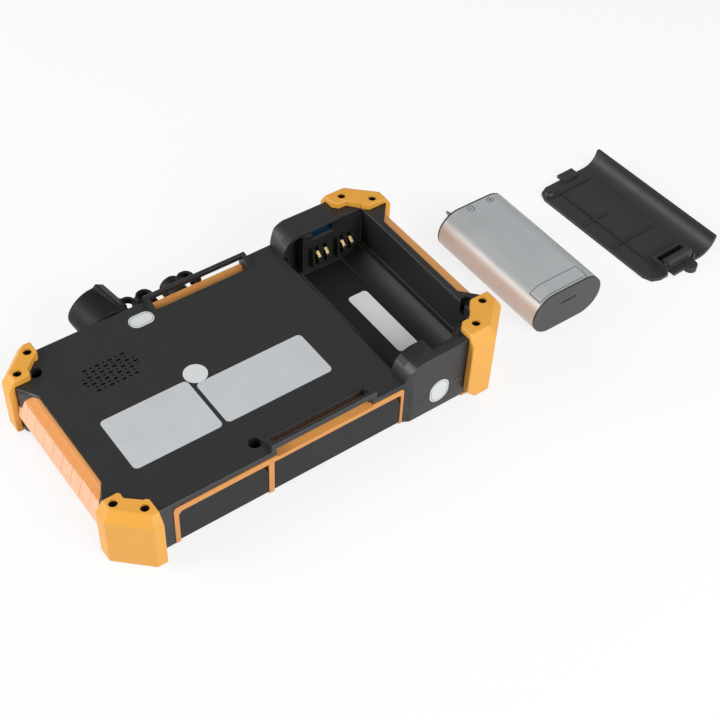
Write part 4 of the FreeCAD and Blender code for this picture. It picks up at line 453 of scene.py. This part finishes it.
@dataclass(frozen=True)
class Metal(Finish):
    """A metal with fine drawing lines along one axis.

    Attributes:
        colour: The metal's colour.
        roughness: How matt it is.
        swing: How much the lines change that.
        lines: How the lines are stretched along each axis; the smallest value is their way.
        line_size: The lines' width, in millimetres.
        line_depth: Their depth, in millimetres.
        cloud: The size of the colour's blotches, in millimetres.
        dull: How dark the blotches are.
        edge: The radius left on sharp edges, in millimetres.
    """

    colour: Colour = (0.6, 0.6, 0.6)
    roughness: float = 0.3
    swing: float = 0.12
    lines: Point = (1.0, 1.0, 1.0)
    line_size: float = 0.6
    line_depth: float = 0.004
    cloud: float = 3.0
    dull: float = 0.88
    edge: float = 0.06

    def paint(self, recipe: Recipe) -> None:
        """Drawing lines in the gloss and a slightly uneven colour."""
        line = recipe.cloud(self.line_size, 3.0, self.lines)
        tone = recipe.mixed(recipe.cloud(self.cloud, 2.0), tinted(self.colour, self.dull), self.colour)
        recipe.surface(base_color=tone, roughness=self.roughness - self.swing / 2 + self.swing * line,
                       metallic=1.0, normal=recipe.bump(line, self.line_depth, recipe.rounded(self.edge)))


@dataclass(frozen=True)
class Film(Finish):
    """A satin film with a faint paper tooth. Each kind of film prints on it.

    Attributes:
        colour: The film.
        roughness: How matt it is between the tooth.
        tooth: The size of the tooth, in millimetres.
        tooth_depth: Its depth, in millimetres.
        tooth_tint: How dark the film is there.
        specular: The strength of the gloss.
    """

    colour: Colour = (0.7, 0.7, 0.7)
    roughness: float = 0.36
    tooth: float = 0.3
    tooth_depth: float = 0.003
    tooth_tint: float = 0.95
    specular: float = 0.4

    def stock(self, recipe: Recipe) -> Union[Colour, Wire]:
        """The bare film's colour."""
        return self.colour

    def printed(self, recipe: Recipe, tone: Wire) -> Wire:
        """The film's colour with what is printed on it."""
        return tone

    def paint(self, recipe: Recipe) -> None:
        """The tooth, and the print over it."""
        tooth = recipe.cloud(self.tooth, 2.0)
        tone = recipe.mixed(tooth * 0.4, self.stock(recipe), tinted(self.colour, self.tooth_tint))
        recipe.surface(base_color=self.printed(recipe, tone), specular_ior_level=self.specular,
                       roughness=self.roughness + 0.1 * tooth, normal=recipe.bump(tooth, self.tooth_depth))


@dataclass(frozen=True)
class Foil(Film):
    """Silvered label stock; the label in the battery bay is whiter.

    Attributes:
        paper: The stock of the label in the bay.
        bay_below: The level below which a label lies in the bay, in millimetres.
        cloud: The size of the stock's blotches, in millimetres.
        tints: Their darkest and lightest tint.
    """

    roughness: float = 0.42
    tooth: float = 0.25
    paper: Colour = (0.8, 0.8, 0.8)
    bay_below: float = 20.0
    cloud: float = 14.0
    tints: Pair = (0.965, 1.03)

    def stock(self, recipe: Recipe) -> Wire:
        """The silvered stock, and the white one in the bay."""
        silver = recipe.mixed(recipe.cloud(self.cloud), *(tinted(self.colour, tint) for tint in self.tints))
        return recipe.mixed(recipe.from_middle()[2] < self.bay_below, silver, self.paper)


@dataclass(frozen=True)
class SealFilm(Film):
    """White seals; the two oblong ones have a thin printed ring inside their edge.

    Attributes:
        ink: The colour of the printed rings.
        ink_strength: How much of it covers the film.
        screw_seal: The middle of the seal over the case screw, along and across the back.
        screw_ring: Half its ring's straight side, and its radius.
        wall_seal: The middle of the upright seal on the near wall, along the wall and up it.
        wall_ring: Half its ring's straight side, and its radius.
        line: The printed line's width.
    """

    ink: Colour = (0.1, 0.1, 0.1)
    ink_strength: float = 0.7
    screw_seal: Pair = (-31.3, 40.6)
    screw_ring: Pair = (2.3, 2.8)
    wall_seal: Pair = (55.9, 12.7)
    wall_ring: Pair = (1.3, 4.1)
    line: float = 0.3

    def printed(self, recipe: Recipe, tone: Wire) -> Wire:
        """The film's colour with the rings."""
        x, y, z = recipe.from_middle()
        rings = (recipe.ring(x - self.screw_seal[0], y - self.screw_seal[1], *self.screw_ring, self.line)
                 + recipe.ring(z - self.wall_seal[1], x - self.wall_seal[0], *self.wall_ring, self.line))
        return recipe.mixed(rings * self.ink_strength, tone, self.ink)


@dataclass(frozen=True)
class ShrinkSleeve(Finish):
    """The shrunk film round the battery: satin silver, with a warm painted reflection on its flanks and a
    printed grey field on its flat top.

    Attributes:
        film: The bare film.
        painted_reflection: A warm band painted where the film curves down, as a painted reflection.
        field: The printed field on top.
        ink: The colour of the printed marks.
        levels: The shares of the sleeve's height where the bands of film, painted reflection, film and field
            stand.
        marks_above: The share of its height above which marks are printed.
        roughness: How matt the film is between wrinkles.
        wrinkle: The size of the wrinkles, in millimetres.
        wrinkle_depth: Their depth, in millimetres.
        minus: The middle of the ringed minus, in millimetres from the middle of the case.
        plus: The middle of the ringed plus.
        ring: The rings' radius.
        line: The printed line's width.
        arm: Half the length of the minus's bar.
        stroke: Half its width.
        frame_middle: The middle of the empty box.
        frame_half: Half its length and width.
    """

    film: Colour = (0.7, 0.7, 0.7)
    painted_reflection: Colour = (0.7, 0.6, 0.5)
    field: Colour = (0.4, 0.4, 0.4)
    ink: Colour = (0.02, 0.02, 0.02)
    levels: tuple[float, ...] = (0.3, 0.5, 0.7, 0.8, 0.87)
    marks_above: float = 0.7
    roughness: float = 0.34
    wrinkle: float = 3.5
    wrinkle_depth: float = 0.02
    minus: Pair = (132.2, 23.0)
    plus: Pair = (143.7, 23.0)
    ring: float = 1.65
    line: float = 0.32
    arm: float = 0.99
    stroke: float = 0.192
    frame_middle: Pair = (133.6, -36.6)
    frame_half: Pair = (13.6, 3.7)

    def marks(self, recipe: Recipe) -> Wire:
        """The ringed minus and plus and the empty box."""
        x, y, _ = recipe.from_middle()
        across, up = x - self.frame_middle[0], y - self.frame_middle[1]
        half_long, half_wide = self.frame_half
        printed = (recipe.box(across, up, half_long, half_wide)
                   - recipe.box(across, up, half_long - self.line, half_wide - self.line))
        for middle, crossed in ((self.minus, False), (self.plus, True)):
            across, up = x - middle[0], y - middle[1]
            printed = printed + recipe.ring(across, up, 0.0, self.ring, self.line)
            printed = printed + recipe.box(across, up, self.arm, self.stroke)
            if crossed:
                printed = printed + recipe.box(across, up, self.stroke, self.arm)
        return recipe.stretched(printed, 0.0, 1.0)

    def paint(self, recipe: Recipe) -> None:
        """Bands of film round the flanks, a warm one being a painted reflection, and the grey field on top."""
        low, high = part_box("battery_sleeve")
        level = recipe.add("ShaderNodeMapRange", inputs={0: recipe.along("Z"), 1: low.z, 2: high.z})
        # The warm band is a painted reflection.
        bands = (self.film, self.film, self.painted_reflection, self.painted_reflection, self.film, self.field)
        wrinkle = recipe.cloud(self.wrinkle, 2.0, (1.0, 0.25, 1.0))
        banded = recipe.ramp(level, (0.0, *self.levels), bands)
        tone = recipe.mixed(wrinkle * 0.1, banded, tinted(self.film, 0.9))
        tone = recipe.mixed(self.marks(recipe) * (level > self.marks_above), tone, self.ink)
        recipe.surface(base_color=tone, roughness=self.roughness + 0.08 * wrinkle, metallic=0.12,
                       normal=recipe.bump(wrinkle, self.wrinkle_depth), specular_ior_level=0.6)


@dataclass(frozen=True)
class CircuitBoard(Finish):
    """A printed circuit board: solder mask over raised copper tracks.

    Attributes:
        mask: The solder mask.
        pitch: The distance from track to track, in millimetres.
        gap: The part of it between two tracks.
        field: The size of the areas with and without tracks.
        lift: How high a track stands.
        bright: How much brighter the mask is over a track.
    """

    mask: Colour = (0.02, 0.12, 0.05)
    pitch: float = 2.4
    gap: float = 1.5
    field: float = 6.0
    lift: float = 0.03
    bright: float = 1.8

    def paint(self, recipe: Recipe) -> None:
        """Tracks under the mask."""
        across = recipe.along("X").repeated(self.pitch * MM) * (1.0 / MM)
        track = (across > self.gap) * (recipe.noise(self.field) > 0.5)
        recipe.surface(base_color=recipe.mixed(track, self.mask, tinted(self.mask, self.bright)),
                       roughness=0.35, normal=recipe.bump(track, self.lift))


@dataclass(frozen=True)
class WoundFibre(Finish):
    """A flat coil of fibre, turn beside turn.

    Attributes:
        colour: The fibre's coating.
        gap: How dark the painted shade is between two turns.
        pitch: The distance from turn to turn, in millimetres.
        depth: How deep the gaps are.
    """

    colour: Colour = (0.6, 0.55, 0.2)
    gap: float = 0.6
    pitch: float = 0.5
    depth: float = 0.1

    def paint(self, recipe: Recipe) -> None:
        """Turns round the coil's middle, with painted shade in the gaps between them."""
        low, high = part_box("fibre_coil")
        middle = (low + high) / 2
        level = recipe.add("ShaderNodeVectorMath", {"operation": "MULTIPLY"},
                           {0: recipe.place(), 1: (1.0, 1.0, 0.0)})
        away = recipe.add("ShaderNodeVectorMath", {"operation": "DISTANCE"},
                          {0: level, 1: (middle.x, middle.y, 0.0)}, "Value")
        gap = recipe.ridges(away, self.pitch)
        recipe.surface(base_color=recipe.mixed(gap, self.colour, tinted(self.colour, self.gap)), roughness=0.35,
                       normal=recipe.bump(1.0 - gap, self.depth))


@dataclass(frozen=True)
class WovenCloth(Finish):
    """The fine black cloth behind the sound holes.

    Attributes:
        colour: The threads.
        dip_painted_shade: How dark the painted shade is where they dip.
        pitch: The distance from thread to thread, in millimetres.
        depth: How far they stand out.
    """

    colour: Colour = (0.01, 0.01, 0.01)
    dip_painted_shade: float = 0.4
    pitch: float = 0.5
    depth: float = 0.06

    def paint(self, recipe: Recipe) -> None:
        """Warp over weft, with painted shade where the threads dip."""
        weave = recipe.ridges(recipe.along("X"), self.pitch) * recipe.ridges(recipe.along("Y"), self.pitch)
        recipe.surface(base_color=recipe.mixed(weave, self.colour, tinted(self.colour, self.dip_painted_shade)),
                       roughness=0.9, normal=recipe.bump(weave, self.depth))


@dataclass(frozen=True)
class ScreenGlass(Finish):
    """Dark glass with a black printed border and a dim blue-grey field.

    Attributes:
        border: The printed border.
        field: The display behind the glass.
        rim: The border's width, in millimetres.
    """

    border: Colour = (0.004, 0.004, 0.005)
    field: Colour = (0.02, 0.026, 0.035)
    rim: float = 7.0

    def paint(self, recipe: Recipe) -> None:
        """The border and the field behind the glass."""
        low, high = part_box("display_glass")
        middle = (low + high) / 2
        half = (high - low) / 2
        inside = recipe.box(recipe.along("X") - middle.x, recipe.along("Y") - middle.y,
                            half.x - self.rim * MM, half.y - self.rim * MM)
        dust = recipe.stretched(recipe.noise(5.0, 4.0), 0.35, 0.75)
        recipe.surface(base_color=recipe.mixed(inside, self.border, self.field),
                       roughness=0.06 + 0.05 * dust, specular_ior_level=0.6, coat_weight=0.5)


@dataclass(frozen=True)
class Lamp(Finish):
    """A small clear status lamp with a painted glow in its resin.

    Attributes:
        colour: The clear resin.
        glow: How strong the painted glow is.
    """

    colour: Colour = (0.3, 0.7, 0.35)
    glow: float = 0.15

    def paint(self, recipe: Recipe) -> None:
        """Clouded resin with a faint painted glow in it."""
        recipe.surface(base_color=recipe.mixed(recipe.noise(0.8), self.colour, tinted(self.colour, 0.6)),
                       roughness=0.15, emission_color=self.colour, emission_strength=self.glow)


class Slot(Enum):
    """The finish of each material slot."""

    # The shell's darker colour inside the battery bay is painted shade.
    SHELL = CasePlastic("shell", colour=shade(37, 37, 38), inside=shade(24, 23, 22), roughness=0.4, grain=0.3,
                        depth=0.008, mottle=0.05)
    GUARD = MouldedPlastic("guard", colour=shade(228, 163, 62), roughness=0.42, grain=0.4, depth=0.005,
                           mottle=0.025)
    # The grip's tones by facing are painted light: its pale pads are a painted highlight and its step lines
    # painted shade.
    GRIP = GripRubber("grip", colour=shade(212, 150, 88), shoulder=shade(214, 138, 58),
                      pad_painted_highlight=shade(238, 188, 152), seam_painted_shade=shade(212, 116, 76))
    TRIM = MouldedPlastic("trim", colour=shade(212, 143, 68), roughness=0.3, grain=0.3, depth=0.004,
                          mottle=0.03)
    FLAP = MouldedPlastic("flap", colour=shade(25, 26, 27), roughness=0.5, grain=0.3, depth=0.01, mottle=0.05,
                          specular=0.35)
    DARK_SCREW = Metal("dark_screw", colour=shade(40, 38, 36), roughness=0.38)
    STEEL = Metal("steel", colour=shade(190, 190, 192), roughness=0.28, lines=(0.2, 1.0, 1.0))
    SOCKET = Metal("socket", colour=shade(176, 177, 180), roughness=0.32, lines=(1.0, 0.2, 1.0))
    NICKEL = Metal("nickel", colour=shade(200, 196, 188), roughness=0.24, lines=(1.0, 0.2, 1.0))
    CERAMIC = MouldedPlastic("ceramic", colour=shade(236, 234, 226), roughness=0.2, grain=0.2, depth=0.0,
                             mottle=0.01)
    CAP_RUBBER = MouldedPlastic("cap_rubber", colour=shade(20, 20, 19), roughness=0.55, grain=0.5, depth=0.012,
                                mottle=0.08, specular=0.28)
    SCREEN_GLASS = ScreenGlass("screen_glass")
    SCREEN = MouldedPlastic("screen", colour=shade(60, 66, 76), roughness=0.4, grain=0.2, depth=0.0,
                            mottle=0.02)
    BOARD = CircuitBoard("board")
    CAN = Metal("can", colour=shade(168, 168, 166), roughness=0.4)
    FIBRE = WoundFibre("fibre")
    SPEAKER_CONE = MouldedPlastic("speaker_cone", colour=shade(38, 38, 40), roughness=0.7, mottle=0.06)
    CLOTH = WovenCloth("cloth")
    KEY = MouldedPlastic("key", colour=shade(70, 72, 74), roughness=0.55, grain=0.4, depth=0.01, mottle=0.04,
                         sheen=0.2)
    KEY_ORANGE = MouldedPlastic("key_orange", colour=shade(236, 146, 40), roughness=0.5, grain=0.4, depth=0.01,
                                mottle=0.03, sheen=0.2)
    LAMP = Lamp("lamp")
    TEAL = MouldedPlastic("teal", colour=shade(18, 50, 68), roughness=0.4, grain=0.3, depth=0.006, mottle=0.06)
    GOLD = Metal("gold", colour=shade(234, 206, 146), roughness=0.26, lines=(1.0, 1.0, 0.2))
    LABEL = Foil("label", colour=shade(191, 194, 197), paper=shade(253, 253, 254))
    SEAL = SealFilm("seal", colour=shade(210, 213, 214), ink=shade(70, 72, 74))
    # The sleeve's warm band is a painted reflection.
    SLEEVE = ShrinkSleeve("sleeve", film=shade(236, 233, 230), painted_reflection=shade(232, 218, 208),
                          field=shade(172, 177, 179))
    BATTERY_END = MouldedPlastic("battery_end", colour=shade(58, 58, 57), roughness=0.42, grain=0.3,
                                 depth=0.006, mottle=0.05)
    CELL = Metal("cell", colour=shade(90, 130, 120), roughness=0.4)
    COVER = MouldedPlastic("cover", colour=shade(46, 46, 44), roughness=0.48, grain=0.3, depth=0.008,
                           mottle=0.05)


# Working a piece


@dataclass(frozen=True)
class Rounding:
    """How sharp edges are rounded.

    Attributes:
        width: How far back from the edge the rounding starts, in millimetres.
        shortest: The shortest edge that is rounded, in millimetres.
        sharper: The smallest angle between two faces that counts as an edge, in degrees.
        segments: The steps in the rounding.
        clamp: Keep the rounding narrow where edges lie close together.
    """

    width: float
    shortest: float = 0.8
    sharper: float = 32.0
    segments: int = 2
    clamp: bool = True


class Workpiece:
    """One visible piece while it is made: a mesh in millimetres from the middle of the case."""

    MERGE = 0.002
    FLAT = math.radians(0.4)
    EVENING = 0.5
    SMOOTH = 38.0

    def __init__(self, node: str, whole_flats: bool = True) -> None:
        """Start with a joined copy of a CAD node's shape.

        Args:
            node: The CAD node.
            whole_flats: Make each flat face one piece; ribbed floors are better left as they come.
        """
        self.name = node + "_finished"
        self.shape = bmesh.new()
        self.shape.from_mesh(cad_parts[node].data)
        self.shape.transform(TO_CASE)
        bmesh.ops.remove_doubles(self.shape, verts=self.shape.verts, dist=self.MERGE)
        if whole_flats:
            bmesh.ops.dissolve_limit(self.shape, angle_limit=self.FLAT, verts=self.shape.verts,
                                     edges=self.shape.edges)

    def soften(self, rounding: Rounding, keep: EdgeTest = lambda edge: True) -> "Workpiece":
        """Round the sharp edges.

        Args:
            rounding: How they are rounded.
            keep: Says whether an edge takes part.

        Returns:
            The workpiece itself.
        """
        limit = math.radians(rounding.sharper)
        edges = [edge for edge in self.shape.edges
                 if edge.is_manifold and edge.calc_length() >= rounding.shortest
                 and edge.calc_face_angle(0.0) > limit and keep(edge)]
        bmesh.ops.bevel(self.shape, geom=edges, offset=rounding.width, offset_type="OFFSET", affect="EDGES",
                        segments=rounding.segments, profile=0.5, material=-1, clamp_overlap=rounding.clamp)
        return self

    def melt(self, voxel: float, rounds: int) -> "Workpiece":
        """Run all forms into each other, as in soft moulded rubber.

        Args:
            voxel: The size of the new mesh's cells, in millimetres.
            rounds: How often the mesh is evened out.

        Returns:
            The workpiece itself.
        """
        mesh = bpy.data.meshes.new(self.name + "_blank")
        self.shape.to_mesh(mesh)
        blank = hung(mesh.name, mesh)
        cells = blank.modifiers.new("cells", "REMESH")
        cells.mode = "VOXEL"
        cells.voxel_size = voxel
        even = blank.modifiers.new("even", "SMOOTH")
        even.factor = self.EVENING
        even.iterations = rounds
        bpy.context.view_layer.update()
        soft = bpy.data.meshes.new_from_object(blank.evaluated_get(bpy.context.evaluated_depsgraph_get()))
        self.shape.clear()
        self.shape.from_mesh(soft)
        bpy.data.objects.remove(blank)
        for spare in (mesh, soft):
            bpy.data.meshes.remove(spare)
        return self

    def place(self, slot: Slot, body: str, *nodes: str, smooth: float = SMOOTH) -> None:
        """Turn the workpiece into an object that rides on a body.

        Args:
            slot: The finish.
            body: The body that it moves with.
            nodes: The CAD nodes that it stands for.
            smooth: The angle up to which faces shade as one, in degrees.
        """
        self.shape.transform(TO_ROW)
        self.shape.normal_update()
        mesh = bpy.data.meshes.new(self.name)
        self.shape.to_mesh(mesh)
        self.shape.free()
        mesh.shade_smooth()
        mesh.set_sharp_from_angle(angle=math.radians(smooth))
        piece = hung(self.name, mesh)
        weighted = piece.modifiers.new("even_flats", "WEIGHTED_NORMAL")
        weighted.keep_sharp = True
        mesh.materials.append(slot.value.material())
        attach(piece, body)
        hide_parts(*nodes)
        log.info("%s: %d faces on %s", self.name, len(mesh.polygons), body)


def runs_along(axis: int, within: Callable[[Vector], bool], straight: float = 0.99) -> EdgeTest:
    """A test for edges that run straight along an axis and whose middle lies within some limits."""
    def test(edge: bmesh.types.BMEdge) -> bool:
        """Whether this edge takes part."""
        start, end = (corner.co for corner in edge.verts)
        return abs((end - start).normalized()[axis]) > straight and within((start + end) / 2)
    return test


def dress(slot: Slot, *nodes: str) -> None:
    """Give CAD nodes whose shape stays as it is their finish."""
    for node in nodes:
        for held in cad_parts[node].material_slots:
            held.material = slot.value.material()
        log.info("%s: kept, finished as %s", node, slot.value.slot)


# The parts of the tester


@dataclass
class CaseShells:
    """The front and back shells, with the left grip's recess in them.

    Attributes:
        long_edges: The rounding of the shells' long edges.
        mouth: The rounding where the left recess opens on the back.
        mouth_end: How far from the case's middle the recess starts, in millimetres.
        mouth_above: The level that its mouth lies above.
        slanted: How far a mouth's edge may follow the case's short side, 1 being wholly.
    """

    long_edges: Rounding = Rounding(0.55, 14.0, clamp=False)
    mouth: Rounding = Rounding(1.3, 1.5, segments=3, clamp=False)
    mouth_end: float = 84.0
    mouth_above: float = 25.0
    slanted: float = 0.97

    def build(self) -> None:
        """Round the long edges of both shells, and the recess's mouth more."""
        for node in ("back_shell", "front_shell"):
            shell = Workpiece(node).soften(self.mouth, self.at_mouth)
            shell.soften(self.long_edges, self.away_from_mouth).place(Slot.SHELL, "root", node)

    def away_from_mouth(self, edge: bmesh.types.BMEdge) -> bool:
        """Whether an edge isn't one of the left recess, whose edges the grip covers."""
        return max(corner.co.x for corner in edge.verts) > -self.mouth_end

    def at_mouth(self, edge: bmesh.types.BMEdge) -> bool:
        """Whether an edge lies where the left recess opens on the back."""
        start, end = (corner.co for corner in edge.verts)
        slanted = abs((end - start).normalized().y) < self.slanted
        return slanted and max(start.x, end.x) < -self.mouth_end and min(start.z, end.z) > self.mouth_above


@dataclass
class SideTrim:
    """The trim frames on the two long sides and the flaps in one of them.

    Attributes:
        corners: The rounding of a frame's two upper corners.
        edges: The rounding of its other edges.
        flap_corners: The rounding of the flaps' upper corners.
        flap_edges: The rounding of their other edges.
        above: The level that the upper corners lie above, in millimetres.
        reach: How far from a frame's end its upper corner reaches.
    """

    corners: Rounding = Rounding(1.6, 1.2, 60.0, 4, clamp=False)
    edges: Rounding = Rounding(0.3, 0.9)
    flap_corners: Rounding = Rounding(0.9, 1.0, 20.0, 3, clamp=False)
    flap_edges: Rounding = Rounding(0.3, 0.5, clamp=False)
    above: float = 16.0
    reach: float = 3.6

    def build(self) -> None:
        """Round the trim and the flaps, their corners more."""
        for node in ("trim_frame_near", "trim_frame_far"):
            low, high = (TO_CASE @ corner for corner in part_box(node))

            def at_end(middle: Vector) -> bool:
                """Whether a point lies at an upper corner of the frame."""
                return middle.z > self.above and min(middle.x - low.x, high.x - middle.x) < self.reach

            trim = Workpiece(node).soften(self.corners, runs_along(1, at_end))
            trim.soften(self.edges).place(Slot.TRIM, "root", node)
        for kind in ("power", "data"):
            flap = Workpiece("flap_" + kind)
            flap.soften(self.flap_corners, runs_along(1, lambda middle: middle.z > self.above))
            flap.soften(self.flap_edges).place(Slot.FLAP, kind + "_flap", "flap_" + kind)


@dataclass
class DustCaps:
    """The dust caps of the optical ports, each in one piece with its strap.

    Attributes:
        rounds: How often each cap is evened out.
        voxel: The size of the melted caps' cells, in millimetres.
        smooth: The angle up to which their faces shade as one, in degrees.
    """

    rounds: tuple[tuple[str, int], ...] = (("fibre", 10), ("meter", 4), ("laser", 4))
    voxel: float = 0.4
    smooth: float = 60.0

    def build(self) -> None:
        """Mould the caps."""
        for kind, rounds in self.rounds:
            cap = Workpiece(kind + "_cap").melt(self.voxel, rounds)
            cap.place(Slot.CAP_RUBBER, "cap_" + kind, kind + "_cap", smooth=self.smooth)


@dataclass
class Mouldings:
    """Pieces of one finish, all of whose sharp edges are rounded alike.

    Attributes:
        slot: Their finish.
        edges: The rounding; without one they keep their edges.
        bodies: The body that each CAD node moves with.
        smooth: The angle up to which their faces shade as one, in degrees.
        whole_flats: Make each flat face one piece.
    """

    slot: Slot
    edges: Optional[Rounding]
    bodies: Mapping[str, str]
    smooth: float = Workpiece.SMOOTH
    whole_flats: bool = True

    def build(self) -> None:
        """Round the edges and put each piece in place."""
        for node, body in self.bodies.items():
            piece = Workpiece(node, self.whole_flats)
            if self.edges:
                piece.soften(self.edges)
            piece.place(self.slot, body, node, smooth=self.smooth)


def keys(*kinds: str) -> dict[str, str]:
    """The node and the body of each of these keys."""
    return {kind + "_key": kind + "_key_body" for kind in kinds}


# What is made anew from a CAD node's shape, and what only takes a finish

GUARDS = ("guard_left_near", "guard_left_far", "guard_right_near", "guard_right_far")
ASSEMBLIES = (
    CaseShells(), SideTrim(), DustCaps(),
    Mouldings(Slot.GUARD, Rounding(0.6, 1.9, 18.0, 3, clamp=False), dict.fromkeys(GUARDS, "root")),
    Mouldings(Slot.GRIP, Rounding(0.45, 6.0, 12.0, clamp=False),
              dict.fromkeys(("grip_left", "grip_right"), "root"), smooth=20.0),
    Mouldings(Slot.SLEEVE, None, {"battery_sleeve": "battery_pack"}),
    Mouldings(Slot.BATTERY_END, Rounding(0.4, 0.2), {"battery_end_caps": "battery_pack"}),
    Mouldings(Slot.COVER, Rounding(0.3, 4.0), {"battery_cover": "cover"}, whole_flats=False),
    Mouldings(Slot.COVER, Rounding(0.2, 0.3), {"cover_latch": "latch"}),
    Mouldings(Slot.KEY, Rounding(0.4, 0.3), keys("up", "down", "left", "right", "test", "back")),
    Mouldings(Slot.KEY_ORANGE, Rounding(0.4, 0.3), keys("ok", "power")),
)
KEPT_SHAPES = {
    Slot.DARK_SCREW: ("case_screws", "guard_screws"),
    Slot.STEEL: ("flap_hinge_pin", "battery_tab"),
    Slot.FLAP: ("port_panel",),
    Slot.NICKEL: ("optical_ports",),
    Slot.CERAMIC: ("port_ferrules",),
    Slot.CAP_RUBBER: ("tether_anchors",),
    Slot.TEAL: ("cover_catch",),
    Slot.SHELL: ("contact_blocks",),
    Slot.GOLD: ("contacts_left", "contacts_right", "battery_pads"),
    Slot.CELL: ("battery_cells",),
    Slot.SCREEN_GLASS: ("display_glass",),
    Slot.SCREEN: ("display_module",),
    Slot.LAMP: ("status_lamps",),
    Slot.BOARD: ("main_board", "key_board"),
    Slot.SOCKET: ("power_socket", "usb_sockets", "ethernet_sockets", "card_slot"),
    Slot.CAN: ("optical_module", "light_detector", "red_laser"),
    Slot.FIBRE: ("fibre_coil",),
    Slot.SPEAKER_CONE: ("speaker",),
    Slot.CLOTH: ("speaker_cloth",),
    Slot.LABEL: ("bare_labels",),
    Slot.SEAL: ("seals",),
}


@dataclass
class Studio:
    """The pale floor, the soft light and the camera.

    Attributes:
        eye: Where the camera stands, in millimetres from the middle of the case.
        aim: A point on the line that it looks along.
        roll: How far the camera is tilted to one side, in degrees.
        lens: Its focal length, in millimetres.
        lights: Each lamp's name, its place and size in millimetres, and its power in watts.
        sky_light: How bright the sky shines on things; the camera sees it at 1.
        floor_size: The floor's length, in metres.
        floor_tones: The darkest and lightest grey of the floor.
        floor_blotch: The size of its blotches, in millimetres.
        floor_glow: How far the floor looks purely white where it is seen or mirrored.
    """

    eye: Point = (-208.4, -333.1, 442.8)
    aim: Point = (37.41, -20.86, 15.0)
    roll: float = 3.18
    lens: float = 69.52
    lights: tuple[tuple[str, Point, Pair, float], ...] = (
        ("key_light", (-760.0, 380.0, 450.0), (550.0, 550.0), 6.6),
        ("front_light", (170.0, -800.0, 500.0), (650.0, 500.0), 6.6),
    )
    sky_light: float = 0.38
    floor_size: float = 6.0
    floor_tones: Pair = (0.86, 0.9)
    floor_blotch: float = 220.0
    floor_glow: float = 0.8

    def build(self) -> None:
        """Make the floor, the light and the camera."""
        self.floor()
        self.sky()
        for light in self.lights:
            self.lamp(*light)
        self.camera()

    def floor(self) -> None:
        """A white floor that the camera sees as white and that keeps a soft shadow."""
        shape = bmesh.new()
        bmesh.ops.create_grid(shape, x_segments=1, y_segments=1, size=self.floor_size / 2)
        mesh = bpy.data.meshes.new("floor")
        shape.to_mesh(mesh)
        shape.free()
        plane = hung("floor", mesh)
        mesh.materials.append(self.floor_paint())

    def floor_paint(self) -> bpy.types.Material:
        """The floor's matt white, mixed with an even glow where it is seen or mirrored."""
        recipe = Recipe("floor_white")
        dark, light = (tinted((1.0, 1.0, 1.0), tone) for tone in self.floor_tones)
        recipe.surface(base_color=recipe.mixed(recipe.noise(self.floor_blotch), dark, light), roughness=0.9,
                       specular_ior_level=0.0)
        rays = [recipe.add("ShaderNodeLightPath", output="Is %s Ray" % kind)
                for kind in ("Camera", "Glossy", "Transmission")]
        glow = recipe.add("ShaderNodeEmission", inputs={"Color": (1.0, 1.0, 1.0), "Strength": 1.0})
        mix = recipe.add("ShaderNodeMixShader", inputs={
            0: (rays[0] + rays[1] + rays[2]) * self.floor_glow,
            1: Wire(recipe, recipe.shader.outputs[0]), 2: glow})
        output = next(n for n in recipe.tree.nodes if n.type == "OUTPUT_MATERIAL")
        recipe.tree.links.new(mix.socket, output.inputs["Surface"])
        return recipe.material

    def sky(self) -> None:
        """A soft even light from all round, white where the camera sees it."""
        world = bpy.data.worlds.new("studio")
        world.use_nodes = True
        bpy.context.scene.world = world
        tree = world.node_tree
        back = next(n for n in tree.nodes if n.type == "BACKGROUND")
        back.inputs["Color"].default_value = (1.0, 1.0, 1.0, 1.0)
        path = tree.nodes.new("ShaderNodeLightPath")
        strength = tree.nodes.new("ShaderNodeMath")
        strength.operation = "MULTIPLY_ADD"
        strength.inputs[1].default_value = 1.0 - self.sky_light
        strength.inputs[2].default_value = self.sky_light
        tree.links.new(path.outputs["Is Camera Ray"], strength.inputs[0])
        tree.links.new(strength.outputs[0], back.inputs["Strength"])

    def lamp(self, name: str, where: Point, size: Pair, power: float) -> None:
        """Hang up a soft square lamp that looks at the case."""
        light = bpy.data.lights.new(name, "AREA")
        light.shape = "RECTANGLE"
        light.size, light.size_y = (side * MM for side in size)
        light.energy = power
        place = TO_ROW @ Vector(where)
        hung(name, light).matrix_world = Matrix.LocRotScale(place, self.facing(place, MIDDLE), None)

    def facing(self, place: Vector, goal: Vector) -> Quaternion:
        """The turn that points a lamp or the camera from one point at another."""
        return (goal - place).to_track_quat("-Z", "Y")

    def camera(self) -> None:
        """The camera at the angle of the reference view."""
        lens = bpy.data.cameras.new("view")
        lens.lens = self.lens
        lens.clip_start = 10 * MM
        camera = hung("view", lens)
        place = TO_ROW @ Vector(self.eye)
        turn = self.facing(place, TO_ROW @ Vector(self.aim))
        tilt = Quaternion((0.0, 0.0, 1.0), math.radians(self.roll))
        camera.matrix_world = Matrix.LocRotScale(place, turn @ tilt, None)
        bpy.context.scene.camera = camera


def main() -> None:
    """Build the studio and all the pieces."""
    logging.basicConfig(level=logging.INFO, format="%(message)s")
    bpy.context.scene.view_settings.view_transform = "Standard"
    Studio().build()
    for assembly in ASSEMBLIES:
        assembly.build()
    for finish, nodes in KEPT_SHAPES.items():
        dress(finish, *nodes)


if __name__ == "__main__":
    main()
